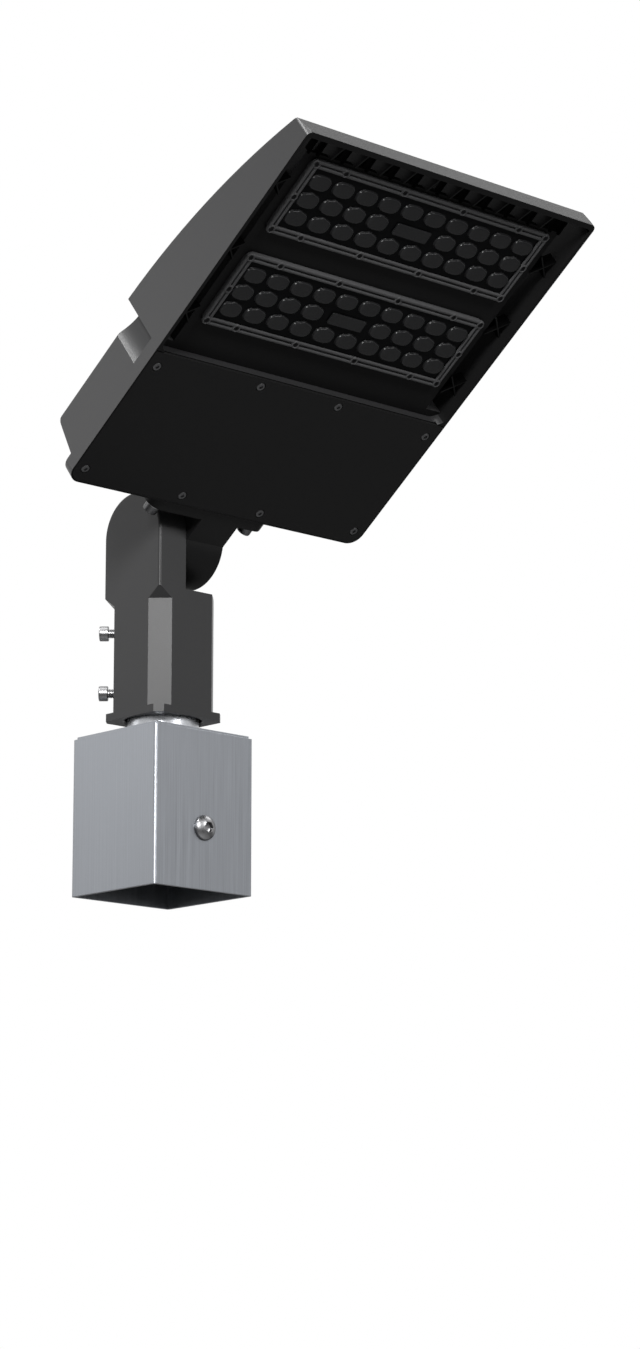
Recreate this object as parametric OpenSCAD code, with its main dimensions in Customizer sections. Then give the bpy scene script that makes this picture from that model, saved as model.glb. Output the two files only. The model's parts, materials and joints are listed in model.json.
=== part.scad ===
// Flat rectangular area light on a tilting knuckle, with a slip fitter and an adapter for a square pole.
// Origin: the centre of the pole's seat, which is the underside of the adapter's cap plate.
// +Z is up, -Y is the way the head points, and X is the tilt axis. Sizes are in millimetres.

/* [Head] */
// Width across the side faces
head_w = 324.5; // [300:0.5:350]
// Length from the rear edge to the tip
head_l = 364; // [350:0.5:400]
// Tilt above level at rest, in degrees
head_tilt = 36.9; // [0:0.1:50]
// Thickness of the side walls
rim_t = 3.4; // [2.4:0.1:4.5]
// Thickness of the tip wall at the rim
tip_t = 5; // [4:0.1:7]
// Slope of the tip face, in degrees
tip_draft = 7; // [0:0.5:8]
// Corner radius at the rear, in plan
rear_corner_r = 12.5; // [8:0.5:16]
// Corner radius at the tip, in plan
tip_corner_r = 5.5; // [4:0.5:10]

/* [Driver box] */
// Height of the ledge round the box
ledge_h = 12.5; // [10:0.5:16]
// Depth of the rear ledge, up to the foot of the box
ledge_l = 17.5; // [14:0.5:22]
// Height of the box above the lens side
box_h = 49; // [46:0.5:56]
// Distance from the rear edge to the front end of the box
box_l = 142.3; // [141:0.1:150]
// Slope of the rear wall, in degrees
box_draft = 10.5; // [4:0.5:12]
// Radius along the top of the rear wall
box_top_r = 8; // [4:0.5:12]
// Radius along the top side edges
box_edge_r = 2.4; // [1:0.1:5]
// Thickness of the top wall
box_top_t = 3.4; // [2.5:0.1:5]
// Length of the scoop in each side, in front of the box
notch_l = 27; // [20:0.5:30]
// Depth of the scoop
notch_d = 8.4; // [6:0.1:10]

/* [Heat sink] */
// Highest point of the arched back above the lens side
sink_top = 61.9; // [58:0.1:68]
// Distance of that point from the rear edge
sink_top_y = 130; // [110:1:150]
// Radius of the arched back
sink_r = 680; // [640:5:800]
// Thickness of each fin
fin_t = 1.8; // [1.4:0.1:2.4]
// Distance from the outermost full fin to the edge of the plate that they stand on
fin_side = 11; // [8:0.5:13]
// Number of fins on each side of the middle one
fin_pairs = 10; // [8:1:10]
// Depth of the fins' edges below the side walls' edges
fin_drop = 1.5; // [0.5:0.1:4]
// Width of the air slots between that plate and the side walls
side_slot = 16.85; // [14:0.05:20]
// Width of the air slot between that plate and the tip wall
tip_slot = 17; // [12:0.5:20]
// Thickness of the plate that carries the light modules
floor_t = 4.5; // [3:0.1:6]

/* [Light bay] */
// Distance from the rear edge to the bay
bay_y = 139; // [138.5:0.1:141]
// Depth of the bay's floor below the rim
floor_z = 11.5; // [10.5:0.1:12.5]
// Corner radius at the rear of the bay, in plan
bay_corner_r = 10; // [6:0.5:14]
// Thickness of the ribs across the air slots
rib_t = 1.8; // [1.2:0.1:2.4]
// Height of the ribs across the air slots
rib_h = 12; // [8:0.5:16]
// Half of the spread of a crossed pair of ribs
cross_rise = 8.5; // [6:0.5:11]

/* [Light modules] */
// Distance from the plate's side edges to a module's frame
module_side = 9.25; // [7:0.25:11]
// Length of a module's frame
module_l = 73; // [70:0.5:78]
// Distance from the rear edge to the middle of the first module
module_y = 207.2; // [200:0.2:212]
// Distance from module to module
module_pitch = 95.2; // [90:0.2:98]
// Width of the frame's band
band_w = 7.3; // [6.8:0.1:8.5]
// Width of the frame's lip over the lens panel
band_lip = 1.6; // [1.2:0.1:1.8]
// Height of the frame above the bay's floor
frame_h = 4.5; // [4:0.1:6]
// Thickness of the circuit board
board_t = 1.6; // [1:0.1:2]
// Thickness of the lens panel between the lenses
panel_t = 1.2; // [1:0.1:1.8]
// Height of a lens above the panel
lens_h = 2.4; // [1.5:0.1:3.5]
// Gap from lens to lens across the head
lens_gap_x = 4.4; // [3:0.1:6]
// Gap from lens to lens along the head
lens_gap_y = 2.4; // [1:0.1:4]
// Gap between the lenses and the frame's short sides
lens_edge_x = 0.7; // [0.4:0.1:3]
// Gap between the lenses and the frame's long sides
lens_edge_y = 3.7; // [1:0.1:6]
// Number of lenses across the head
lens_cols = 10; // [8:2:10]
// Number of lenses along the head
lens_rows = 3; // [3:2:3]
// Distance of the connector cover's ends inside the places of the middle two lenses
block_in = 4.6; // [2:0.1:8]
// Width of the connector cover
block_l = 11; // [8:0.5:14]
// Thread diameter of the module screws
module_screw_d = 3; // [2.5:0.1:3.2]

/* [Driver cover] */
// Thickness of the cover plate
cover_t = 2.5; // [2:0.1:3.5]
// Width of the housing's lip round the cover
cover_lip = 1.2; // [0.8:0.1:2]
// Gap between the lip and the cover
cover_gap = 0.4; // [0.2:0.1:0.8]
// Thickness of the cover's gasket
gasket_t = 1.5; // [1:0.1:2]
// Width of the cover's gasket
gasket_w = 3; // [2:0.1:3.4]
// Thread diameter of the cover screws
cover_screw_d = 4; // [3:0.1:5]
// Head diameter of the cover screws
cover_head_d = 8; // [6.5:0.1:9]

/* [Knuckle] */
// Distance from the tilt axis to the head's rear edge
pivot_back = 59.4; // [58:0.1:66]
// Height of the tilt axis above the head's lens side
pivot_up = 29.6; // [26:0.1:32]
// Radius of the arm's round end
boss_r = 37.75; // [34:0.25:42]
// Thickness of the arm's round end
boss_t = 40.4; // [34:0.2:44]
// Gap between the faces of the joint
joint_gap = 0.4; // [0.3:0.1:0.8]
// Number of teeth on each face of the joint
tooth_n = 24; // [18:2:24]
// Height of the teeth
tooth_h = 1.6; // [1.2:0.1:2.2]
// Inner radius of the ring of teeth
tooth_in_r = 17; // [16.5:0.5:19]
// Outer radius of the ring of teeth
tooth_out_r = 27; // [24:0.5:28]
// Thread diameter of the tilt bolt
tilt_bolt_d = 12; // [10:1:14]
// Thickness of the arm's mounting plate
plate_t = 9; // [7:0.5:11]
// Height of the plate's lower edge above the head's lens side
plate_low = 2; // [0:0.5:4]
// Distance from the lower bolts up to the upper bolts
arm_bolt_rise = 25; // [22:0.5:27]
// Distance from the left bolts to the right bolts
arm_bolt_span = 105; // [96:0.5:110]
// Corner radius of the plate, round each bolt
plate_corner_r = 11; // [9.5:0.5:12.5]
// Thread diameter of the arm's bolts
arm_bolt_d = 8; // [6:0.5:8]
// Thickness of the gasket behind the plate
arm_gasket_t = 1.5; // [1:0.1:2.5]
// Radius of the lead's way through the knuckle
lead_way_r = 7; // [6:0.25:8]

/* [Slip fitter] */
// Wall of the body between the bore and its flats
fitter_wall = 3.75; // [3:0.05:8]
// Height of the body
fitter_h = 108.4; // [104:0.2:130]
// Cut at each corner of the body
fitter_chamfer = 14.1; // [11:0.1:15]
// Width of the foot's lip beyond the body's flats
foot_lip = 0.8; // [0.4:0.1:4]
// Height of the foot
foot_h = 6.5; // [5:0.1:9]
// Cut at each corner of the foot
foot_chamfer = 6.3; // [4:0.1:9]
// Depth of the bore for the tenon
bore_depth = 89; // [84:0.5:92]
// Gap round the tenon in the bore
tenon_gap = 2.5; // [0.5:0.1:3]
// Height of the tilt axis above the body
pivot_h = 49.4; // [44:0.2:60]
// Thickness of the upright ear
ear_t = 29; // [26:0.2:31]
// Radius along the ear's outer edge
ear_edge_r = 2.5; // [1.5:0.1:4]
// Radius of the body's top edge beside the ear
shoulder_r = 4; // [2:0.5:6]
// Thread diameter of the set screws
set_screw_d = 8; // [6:0.5:10]
// Height of the lower set screw above the foot
set_screw_low = 25; // [20:0.5:30]
// Distance between the set screws
set_screw_pitch = 52; // [44:0.5:54]
// Length of shank that shows under a set screw's head
set_screw_show = 5.4; // [3:0.1:8]

/* [Pole adapter] */
// Outer diameter of the tenon
tenon_d = 60.3; // [58:0.1:61]
// Wall of the tenon
tenon_t = 3.9; // [2.8:0.1:5.5]
// Height of the tenon above the cap plate
tenon_l = 101.6; // [96:0.2:106]
// Thickness of the cap plate
cap_t = 6; // [5:0.1:8]
// Height of the cap plate above the sleeve
cap_proud = 2.4; // [0:0.1:3]
// Width of the square pole that the sleeve fits over
pole_w = 101.6; // [98:0.1:110]
// Gap between the pole and the sleeve, on each side
pole_gap = 0.5; // [0.3:0.1:1]
// Wall of the sleeve
sleeve_t = 2.55; // [2:0.05:4]
// Depth of the sleeve below the pole's seat
sleeve_l = 130.3; // [110:0.1:160]
// Distance of the sleeve's screws below the pole's seat
pole_screw_drop = 78.4; // [60:0.2:90]
// Thread diameter of the sleeve's screws
pole_screw_d = 12; // [8:0.5:12]
// Head diameter of the sleeve's screws
pole_screw_head_d = 21.5; // [18:0.5:24]
// Length of the sleeve's screws under the head
pole_screw_l = 16; // [12:0.5:20]

/* [Hidden] */
$fn = 64;

// One overrun that carries every cut clear of its surface, and one that sinks joined shapes together
over = 1;
sink_in = 0.3;
// Gap round a screw or pin in its hole, and the gap left at a sliding or soft seat
run_gap = 0.05;
seat_gap = 0.2;

// Adapter
sleeve_in_w = pole_w + 2 * pole_gap;
sleeve_w = sleeve_in_w + 2 * sleeve_t;
cap_top = cap_t;
tenon_top = cap_top + tenon_l;
pole_screw_r = pole_screw_d / 2;
pole_screw_head_h = 6.6;
pole_screw_rim_h = 1.6;
pole_hex_r = 4.6;
pole_hex_l = 4;

// Slip fitter
fitter_z = tenon_top - bore_depth;
fitter_top = fitter_z + fitter_h;
pivot_z = fitter_top + pivot_h;
bore_r = tenon_d / 2 + tenon_gap;
fitter_w = 2 * (bore_r + fitter_wall);
foot_w = fitter_w + 2 * foot_lip;
bore_mouth = 1.5;
ear_x = -fitter_w / 2;
ear_face_x = ear_x + ear_t;
ear_r = fitter_w / 2;
joint_x = ear_face_x + joint_gap;
set_screw_z = [fitter_z + set_screw_low, fitter_z + set_screw_low + set_screw_pitch];
chamfer_plane = (fitter_w - fitter_chamfer) / sqrt(2);
set_head_r = 6.5;
set_head_h = 8;
set_hex_r = 3.46;
set_hex_l = 4;
set_tip_r = tenon_d / 2 + seat_gap;

// Joint faces
tooth_base = 4.2;
seal_d = 3;
seal_r = 31.5;
seal_groove_w = 3.4;
seal_groove_l = seal_d - joint_gap + seat_gap / 2;
lead_ring_in_r = 8.5;
lead_ring_out_r = 15;
lead_ring_l = 14;
thread_l = 22;
bolt_r = tilt_bolt_d / 2;
bolt_head_af = 18;
bolt_head_h = 7.5;
washer_r = 12;
washer_t = 2.5;
spot_r = 13;
spot_l = 3;

// The lead's hole lies against the inside of the tenon's wall
lead_hole_r = 6.5;
lead_hole_x = tenon_t + lead_hole_r - tenon_d / 2;

// Arm
lead_way_wall = 3;
lead_way_x = joint_x + lead_way_wall + lead_way_r;
plate_y = -arm_gasket_t - plate_t;
arm_bolt_z = [plate_low + plate_corner_r, plate_low + plate_corner_r + arm_bolt_rise];
plate_w = arm_bolt_span + 2 * plate_corner_r;
plate_h = arm_bolt_rise + 2 * plate_corner_r;
plate_mid_z = plate_low + plate_h / 2;
neck_top_drop = 3;
arm_bolt_head_r = 6.5;
arm_bolt_head_h = 8;
arm_bolt_grip = 16;
arm_washer_r = 8;
arm_washer_t = 1.8;
arm_hex_r = 3.46;
arm_hex_l = 4;

// Housing
wall_x = head_w / 2 - rim_t;
tip_y = head_l - tip_t;
island_w = 2 * (wall_x - side_slot);
island_y = tip_y - tip_slot;
fin_pitch = (island_w / 2 - fin_side) / fin_pairs;
scoop_end_t = 3.4;
box_slope = tan(box_draft);
box_arc_z = box_h - box_top_r;
box_arc_y = ledge_l + (box_arc_z - ledge_h) * box_slope + box_top_r / cos(box_draft);
notch_r = (notch_l * notch_l + notch_d * notch_d) / (2 * notch_d);
seat_z = cover_t + gasket_t;
cavity_rear_t = 9.5;
cavity_side_t = 8.25;
cavity_scoop_t = 9.85;
cavity_front_t = 5;
cavity_y = ledge_l + cavity_rear_t;
cavity_w = head_w - 2 * cavity_side_t;
cavity_step_y = box_l - notch_l - cavity_front_t;
cavity_front_w = head_w - 2 * (notch_d + cavity_scoop_t);
cavity_front_y = bay_y - cavity_front_t;
cavity_top = box_h - box_top_t;
gasket_step = 1;
bay_tip_r = 3;
rib_low = 9;
rib_tip_low = 3;
cross_low = 9;
cross_shares = [0.481, 0.662, 0.846];
duct_w = 14;
duct_h = 12;
duct_r = 4;
duct_z = floor_z + floor_t + duct_h / 2;
duct_end = 14;
lead_r = 3.6;
grommet_r = 9;
grommet_flange_r = 11.5;
grommet_t = 2;
grommet_bore_r = 6;
grommet_z = plate_mid_z;

// Cover screws, as places across and along the head
cover_side_in = 11.75;
cover_corner_in = 14;
cover_rear_in = 9.8;
cover_front_in = 7.6;
cover_side_x = head_w / 2 - cover_side_in;
cover_mid_x = 43.5;
cover_screw_places = [
  [cover_side_x, cover_corner_in], [cover_mid_x, cover_rear_in],
  [cover_side_x, bay_y - cover_corner_in], [cover_mid_x, bay_y - cover_front_in]
];
cover_boss_r = 8;
cover_screw_l = 8.8;
cover_head_h = 1.6;
cover_head_gap = 0.3;
cover_hex_r = 1.6;
cover_hex_l = 1;

// Light modules
module_w = island_w - 2 * module_side;
panel_w = module_w - 2 * (band_w - band_lip);
panel_l = module_l - 2 * (band_w - band_lip);
frame_r = band_w / 2;
panel_r = 2;
board_z = floor_z - board_t;
panel_z = board_z - panel_t;
lens_z = panel_z - lens_h;
lens_gasket_t = 0.4;
lens_gasket_z = panel_z - lens_gasket_t;
frame_z = floor_z - frame_h;
bead_in = 0.3;
bead_w = 3;
bead_h = 0.8;
bead_r = 1;
band_gap = 0.1;
lens_w = (module_w - 2 * band_w - 2 * lens_edge_x - (lens_cols - 1) * lens_gap_x) / lens_cols;
lens_l = (module_l - 2 * band_w - 2 * lens_edge_y - (lens_rows - 1) * lens_gap_y) / lens_rows;
lens_pitch_x = lens_w + lens_gap_x;
lens_pitch_y = lens_l + lens_gap_y;
lens_r = 5.5;
lens_dome_r = 42;
lens_hood_r = 2.6;
chip_w = 3.5;
chip_t = 0.7;
chip_pocket_r = 3;
chip_pocket_l = 1;
block_w = 2 * (lens_w - block_in) + lens_gap_x;
block_h = 1.9;
block_r = 1.2;
screw_inset = band_w / 2;
module_screw_x = module_w / 2 - screw_inset;
module_screw_y = module_l / 2 - screw_inset;
module_screw_shares = [-1, -0.755, -0.255, 0.255, 0.755, 1];
module_boss_r = 3.9;
module_head_r = 2.6;
module_head_h = 1.2;
module_hex_r = 1.2;
module_hex_l = 0.8;
module_screw_l = 7.5;
wire_hole_r = 4;

// Parts in the driver box
part_gap = 22;
surge_side = 5;
surge_w = 30;
surge_l = 50;
surge_h = 24;
surge_x = surge_side + surge_w / 2 - cavity_w / 2;
surge_y = 40;
driver_side = 21;
driver_w = cavity_w - surge_side - surge_w - part_gap - driver_side;
driver_l = 64;
driver_h = 34;
driver_x = (cavity_w - driver_w) / 2 - driver_side;
driver_y = 44;
driver_foot_l = 12;
driver_foot_t = 2.5;
driver_slot_r = 2.2;
driver_screw_r = 2;
driver_screw_bite = 2;
driver_screw_head_r = 4;
driver_screw_head_h = 2.4;
terminal_w = 36;
terminal_l = 11;
terminal_h = 16;
terminal_x = 40;
terminal_slot_r = 2.4;

// A rectangle with round corners
module rounded_2d(w, l, r) {
  square([w - 2 * r, l], center = true);
  square([w, l - 2 * r], center = true);
  for (sx = [-1, 1], sy = [-1, 1]) translate([sx * (w / 2 - r), sy * (l / 2 - r)]) circle(r);
}

// A square with its corners cut off
module chamfered_2d(w, cut) {
  h = w / 2;
  polygon([
    [h, cut - h], [h, h - cut], [h - cut, h], [cut - h, h],
    [-h, h - cut], [-h, cut - h], [cut - h, -h], [h - cut, -h]
  ]);
}

// Sweeps a profile drawn in Y and Z across the head, centred on the middle
module across(w) {
  rotate([90, 0, 90]) translate([0, 0, -w / 2]) linear_extrude(w) children();
}

// Sweeps a profile drawn in X and Z from one Y to another
module along(y0, y1) {
  translate([0, y1, 0]) rotate([90, 0, 0]) linear_extrude(y1 - y0) children();
}

// A round bar along X, from one X to another
module bar_x(x0, x1, r) {
  translate([x0, 0, 0]) rotate([0, 90, 0]) cylinder(r = r, h = x1 - x0);
}

// A round bar along Y, from one Y to another
module bar_y(y0, y1, r) {
  translate([0, y0, 0]) rotate([-90, 0, 0]) cylinder(r = r, h = y1 - y0);
}

// Places a piece drawn level about the tilt axis
module tilted() {
  translate([0, 0, pivot_z]) rotate([-head_tilt, 0, 0]) children();
}

// Places a piece of the head. Its frame has Y from the rear edge to the tip, and Z from the rim to the back.
module in_head() {
  tilted() translate([0, -pivot_back, -pivot_up]) mirror([0, 1, 0]) children();
}

// Moves the head's frame to the tilt axis
module at_pivot() {
  translate([0, -pivot_back, pivot_up]) children();
}

// Places a set screw on the corner of the body, with +X pointing out of the corner
module at_set_screw(i) {
  translate([0, 0, set_screw_z[i]]) rotate([0, 0, 135]) children();
}

// A bolt along +X with a hexagon socket. The underside of its head is at X = 0.
module socket_bolt(r, l, head_r, head_h, hex_r, hex_l) {
  difference() {
    union() {
      bar_x(-l, sink_in, r);
      bar_x(0, head_h, head_r);
    }
    translate([head_h - hex_l, 0, 0]) rotate([0, 90, 0]) cylinder(r = hex_r, h = hex_l + over, $fn = 6);
  }
}

// Pole adapter

module pole_sleeve() {
  color("silver") difference() {
    translate([0, 0, -sleeve_l]) linear_extrude(sleeve_l + cap_t - cap_proud) difference() {
      rounded_2d(sleeve_w, sleeve_w, sleeve_t);
      square(sleeve_in_w, center = true);
    }
    for (s = [-1, 1]) translate([0, s * sleeve_w / 2, -pole_screw_drop]) rotate([0, 0, s * 90])
      bar_x(-sleeve_t - over, over, pole_screw_r + run_gap);
  }
}

module cap_plate() {
  color("gainsboro") difference() {
    linear_extrude(cap_t) square(sleeve_in_w, center = true);
    translate([0, 0, -over]) cylinder(d = tenon_d - 2 * tenon_t, h = cap_t + 2 * over);
  }
}

module tenon() {
  color("silver") difference() {
    translate([0, 0, cap_top]) cylinder(d = tenon_d, h = tenon_l);
    cylinder(d = tenon_d - 2 * tenon_t, h = tenon_top + over);
  }
}

module pole_screw() {
  dome_h = pole_screw_head_h - pole_screw_rim_h;
  dome_r = (pole_screw_head_d * pole_screw_head_d / 4 + dome_h * dome_h) / (2 * dome_h);
  rotate([0, 90, 0]) difference() {
    rotate_extrude() {
      translate([0, -pole_screw_l]) square([pole_screw_r, pole_screw_l + sink_in]);
      intersection() {
        translate([0, pole_screw_head_h - dome_r]) circle(dome_r);
        square([pole_screw_head_d / 2, pole_screw_head_h]);
      }
    }
    translate([0, 0, pole_screw_head_h - pole_hex_l]) cylinder(r = pole_hex_r, h = pole_hex_l + over, $fn = 6);
  }
}

module pole_screws() {
  color("lightgray") for (s = [-1, 1])
    translate([0, s * sleeve_w / 2, -pole_screw_drop]) rotate([0, 0, s * 90]) pole_screw();
}

// Slip fitter

// The body's outline from the front, with a round shoulder beside the ear
module fitter_front_2d() {
  h = fitter_w / 2;
  translate([-h, fitter_z]) square([fitter_w, fitter_h - shoulder_r]);
  translate([-h, fitter_z]) square([fitter_w - shoulder_r, fitter_h]);
  translate([h - shoulder_r, fitter_top - shoulder_r]) circle(shoulder_r);
}

// The ear in plan, with its outer edges round
module ear_2d() {
  plan_x = ear_x + ear_t / 2;
  translate([plan_x, 0]) square([ear_t - 2 * ear_edge_r, fitter_w], center = true);
  translate([ear_x, ear_edge_r - ear_r]) square([ear_t, fitter_w - 2 * ear_edge_r]);
  translate([ear_face_x - ear_edge_r, -ear_r]) square([ear_edge_r, fitter_w]);
  for (s = [-1, 1]) translate([ear_x + ear_edge_r, s * (ear_r - ear_edge_r)]) circle(ear_edge_r);
}

// Takes off a square corner of the ear below a slope of 45 degrees that ends at the body's cut corner
module corner_slope(s) {
  span = 2 * fitter_chamfer;
  translate([-ear_r, s * ear_r, fitter_top]) rotate([0, 0, -s * 45]) rotate([0, -45, 0])
    translate([-span, -span, -2 * span]) cube([span, 2 * span, 4 * span]);
}

module ear() {
  ear_low = fitter_top - fitter_chamfer / sqrt(2);
  difference() {
    translate([0, 0, ear_low]) linear_extrude(pivot_z - ear_low) ear_2d();
    for (s = [-1, 1]) corner_slope(s);
  }
  translate([ear_x, 0, pivot_z]) rotate([0, 90, 0]) rotate_extrude() {
    square([ear_r - ear_edge_r, ear_t]);
    translate([0, ear_edge_r]) square([ear_r, ear_t - ear_edge_r]);
    translate([ear_r - ear_edge_r, ear_edge_r]) circle(ear_edge_r);
  }
}

// Radial teeth on a joint face. They stand along +X, with their crests at X = 0.
module tooth_ring() {
  for (k = [0:tooth_n - 1]) rotate([k * 360 / tooth_n, 0, 0])
    translate([0, 0, tooth_in_r - sink_in]) linear_extrude(tooth_out_r - tooth_in_r + 2 * sink_in)
      polygon([
        [-tooth_h - sink_in, -tooth_base / 2], [-tooth_h, -tooth_base / 2], [0, 0],
        [-tooth_h, tooth_base / 2], [-tooth_h - sink_in, tooth_base / 2]
      ]);
}

// A round groove in a joint face, opening towards +X at X = 0
module face_groove(r0, r1, l) {
  translate([-l, 0, 0]) rotate([0, 90, 0]) rotate_extrude()
    translate([r0, 0]) square([r1 - r0, l + over]);
}

module slip_fitter() {
  color("dimgray") difference() {
    union() {
      difference() {
        union() {
          intersection() {
            translate([0, 0, fitter_z]) linear_extrude(fitter_h) chamfered_2d(fitter_w, fitter_chamfer);
            along(-fitter_w, fitter_w) fitter_front_2d();
          }
          translate([0, 0, fitter_z]) linear_extrude(foot_h) chamfered_2d(foot_w, foot_chamfer);
          ear();
        }
        translate([ear_face_x, 0, pivot_z]) {
          face_groove(tooth_in_r, tooth_out_r, tooth_h);
          face_groove(seal_r - seal_groove_w / 2, seal_r + seal_groove_w / 2, seal_groove_l);
          face_groove(lead_ring_in_r, lead_ring_out_r, lead_ring_l);
        }
      }
      translate([ear_face_x, 0, pivot_z]) tooth_ring();
    }
    translate([0, 0, fitter_z - over]) cylinder(r = bore_r, h = bore_depth + over);
    translate([0, 0, fitter_z - over]) cylinder(r1 = bore_r + bore_mouth + over, r2 = bore_r, h = bore_mouth + over);
    translate([lead_hole_x, 0, tenon_top - over])
      cylinder(r = lead_hole_r, h = pivot_z - tenon_top - lead_ring_in_r);
    translate([ear_face_x - thread_l - over, 0, pivot_z]) bar_x(0, thread_l + 2 * over, bolt_r + run_gap);
    for (i = [0, 1]) at_set_screw(i) bar_x(tenon_d / 4, chamfer_plane + over, set_screw_d / 2 + run_gap);
  }
}

module tilt_bolt() {
  bolt_x = joint_x + boss_t - spot_l + washer_t;
  color("silver") translate([0, 0, pivot_z]) {
    bar_x(ear_face_x - thread_l, bolt_x + sink_in, bolt_r);
    translate([bolt_x, 0, 0]) rotate([0, 90, 0]) cylinder(d = bolt_head_af / cos(30), h = bolt_head_h, $fn = 6);
  }
}

module tilt_washer() {
  color("lightgray") translate([joint_x + boss_t - spot_l, 0, pivot_z]) difference() {
    bar_x(0, washer_t, washer_r);
    bar_x(-over, washer_t + over, bolt_r + run_gap);
  }
}

module tilt_seal() {
  color("black") translate([ear_face_x - seal_groove_l + seal_d / 2, 0, pivot_z]) rotate([0, 90, 0])
    rotate_extrude() translate([seal_r, 0]) circle(d = seal_d, $fn = 24);
}

module set_screw(i) {
  head_x = chamfer_plane + set_screw_show;
  color("silver") at_set_screw(i) translate([head_x, 0, 0])
    socket_bolt(set_screw_d / 2, head_x - set_tip_r, set_head_r, set_head_h, set_hex_r, set_hex_l);
}

// Knuckle arm

module plate_2d() {
  translate([0, plate_mid_z]) rounded_2d(plate_w, plate_h, plate_corner_r);
}

// Repeats a piece at the four bolts of the arm
module at_arm_bolts() {
  for (s = [-1, 1], z = arm_bolt_z) translate([s * arm_bolt_span / 2, 0, z]) children();
}

module knuckle_arm() {
  neck_z0 = plate_low;
  neck_z1 = plate_low + plate_h - neck_top_drop;
  color("dimgray") in_head() difference() {
    union() {
      difference() {
        union() {
          at_pivot() bar_x(joint_x, joint_x + boss_t, boss_r);
          translate([joint_x, -pivot_back, neck_z0]) cube([boss_t, pivot_back + plate_y + sink_in, neck_z1 - neck_z0]);
          along(plate_y, -arm_gasket_t) plate_2d();
        }
        at_pivot() translate([joint_x, 0, 0]) mirror([1, 0, 0]) {
          face_groove(tooth_in_r, tooth_out_r, tooth_h);
          face_groove(lead_ring_in_r, lead_ring_out_r, lead_ring_l + lead_way_r / 2);
        }
      }
      at_pivot() translate([joint_x, 0, 0]) mirror([1, 0, 0]) tooth_ring();
    }
    at_pivot() {
      bar_x(joint_x - over, joint_x + boss_t + over, bolt_r + run_gap);
      bar_x(joint_x + boss_t - spot_l, joint_x + boss_t + over, spot_r);
    }
    translate([lead_way_x, 0, grommet_z]) bar_y(lead_ring_in_r - pivot_back + over, over, lead_way_r);
    at_arm_bolts() bar_y(plate_y - over, over, arm_bolt_d / 2 + run_gap);
  }
}

module arm_gasket() {
  color("black") in_head() difference() {
    along(-arm_gasket_t, 0) plate_2d();
    translate([lead_way_x, 0, grommet_z]) bar_y(-arm_gasket_t - over, over, grommet_r);
    at_arm_bolts() bar_y(-arm_gasket_t - over, over, arm_bolt_d / 2 + run_gap);
  }
}

module arm_washers() {
  color("lightgray") in_head() at_arm_bolts() difference() {
    bar_y(plate_y - arm_washer_t, plate_y, arm_washer_r);
    bar_y(plate_y - arm_washer_t - over, plate_y + over, arm_bolt_d / 2 + run_gap);
  }
}

module arm_bolts() {
  color("silver") in_head() at_arm_bolts() translate([0, plate_y - arm_washer_t, 0]) rotate([0, 0, -90])
    socket_bolt(
      arm_bolt_d / 2, arm_washer_t + plate_t + arm_gasket_t + arm_bolt_grip,
      arm_bolt_head_r, arm_bolt_head_h, arm_hex_r, arm_hex_l
    );
}

module lead_grommet() {
  color("black") in_head() translate([lead_way_x, 0, grommet_z]) difference() {
    union() {
      bar_y(0, cavity_y + sink_in, grommet_r - run_gap);
      bar_y(cavity_y, cavity_y + grommet_t, grommet_flange_r);
    }
    bar_y(-over, cavity_y + grommet_t + over, grommet_bore_r);
  }
}

// Housing

// The head's outline in plan, drawn in by an inset, up to a given distance from the rear edge
module head_plan(inset) {
  h = head_w / 2 - inset;
  r0 = rear_corner_r - inset;
  r1 = tip_corner_r - inset;
  y0 = inset;
  y1 = head_l - inset;
  translate([-h, y0 + r0]) square([2 * h, y1 - y0 - r0 - r1]);
  translate([r0 - h, y0]) square([2 * (h - r0), r0 + sink_in]);
  translate([r1 - h, y1 - r1 - sink_in]) square([2 * (h - r1), r1 + sink_in]);
  for (s = [-1, 1]) {
    translate([s * (h - r0), y0 + r0]) circle(r0);
    translate([s * (h - r1), y1 - r1]) circle(r1);
  }
}

// The driver box from the side: a sloping rear wall and a round top edge
module box_side_2d() {
  tangent = [box_arc_y - box_top_r * cos(box_draft), box_arc_z + box_top_r * sin(box_draft)];
  polygon([
    [ledge_l, ledge_h - over], [ledge_l, ledge_h], tangent, [box_arc_y, box_arc_z], [box_arc_y, box_h],
    [box_l, box_h], [box_l, ledge_h - over]
  ]);
  translate([box_arc_y, box_arc_z]) circle(box_top_r);
}

// The driver box from the rear, with round top side edges
module box_front_2d() {
  h = head_w / 2;
  translate([-h, 0]) square([head_w, box_h - box_edge_r]);
  translate([box_edge_r - h, 0]) square([head_w - 2 * box_edge_r, box_h]);
  for (s = [-1, 1]) translate([s * (h - box_edge_r), box_h - box_edge_r]) circle(box_edge_r);
}

// The heat sink from the side, under its arched back, with a drop for the fins
module sink_side_2d(drop) {
  intersection() {
    polygon([
      [box_l - sink_in, 0], [head_l, 0],
      [head_l - sink_top * tan(tip_draft), sink_top], [box_l - sink_in, sink_top]
    ]);
    translate([sink_top_y, sink_top - sink_r]) circle(sink_r - drop, $fn = 360);
  }
}

// The scoop in one side, in front of the driver box
module side_notch(s) {
  h = sink_top - ledge_h + over;
  translate([0, 0, ledge_h]) linear_extrude(h) intersection() {
    translate([s * (head_w / 2 - notch_d + notch_r), box_l]) circle(notch_r, $fn = 180);
    translate([s > 0 ? 0 : -head_w, box_l - notch_l - over]) square([head_w, notch_l + over]);
  }
}

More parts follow.
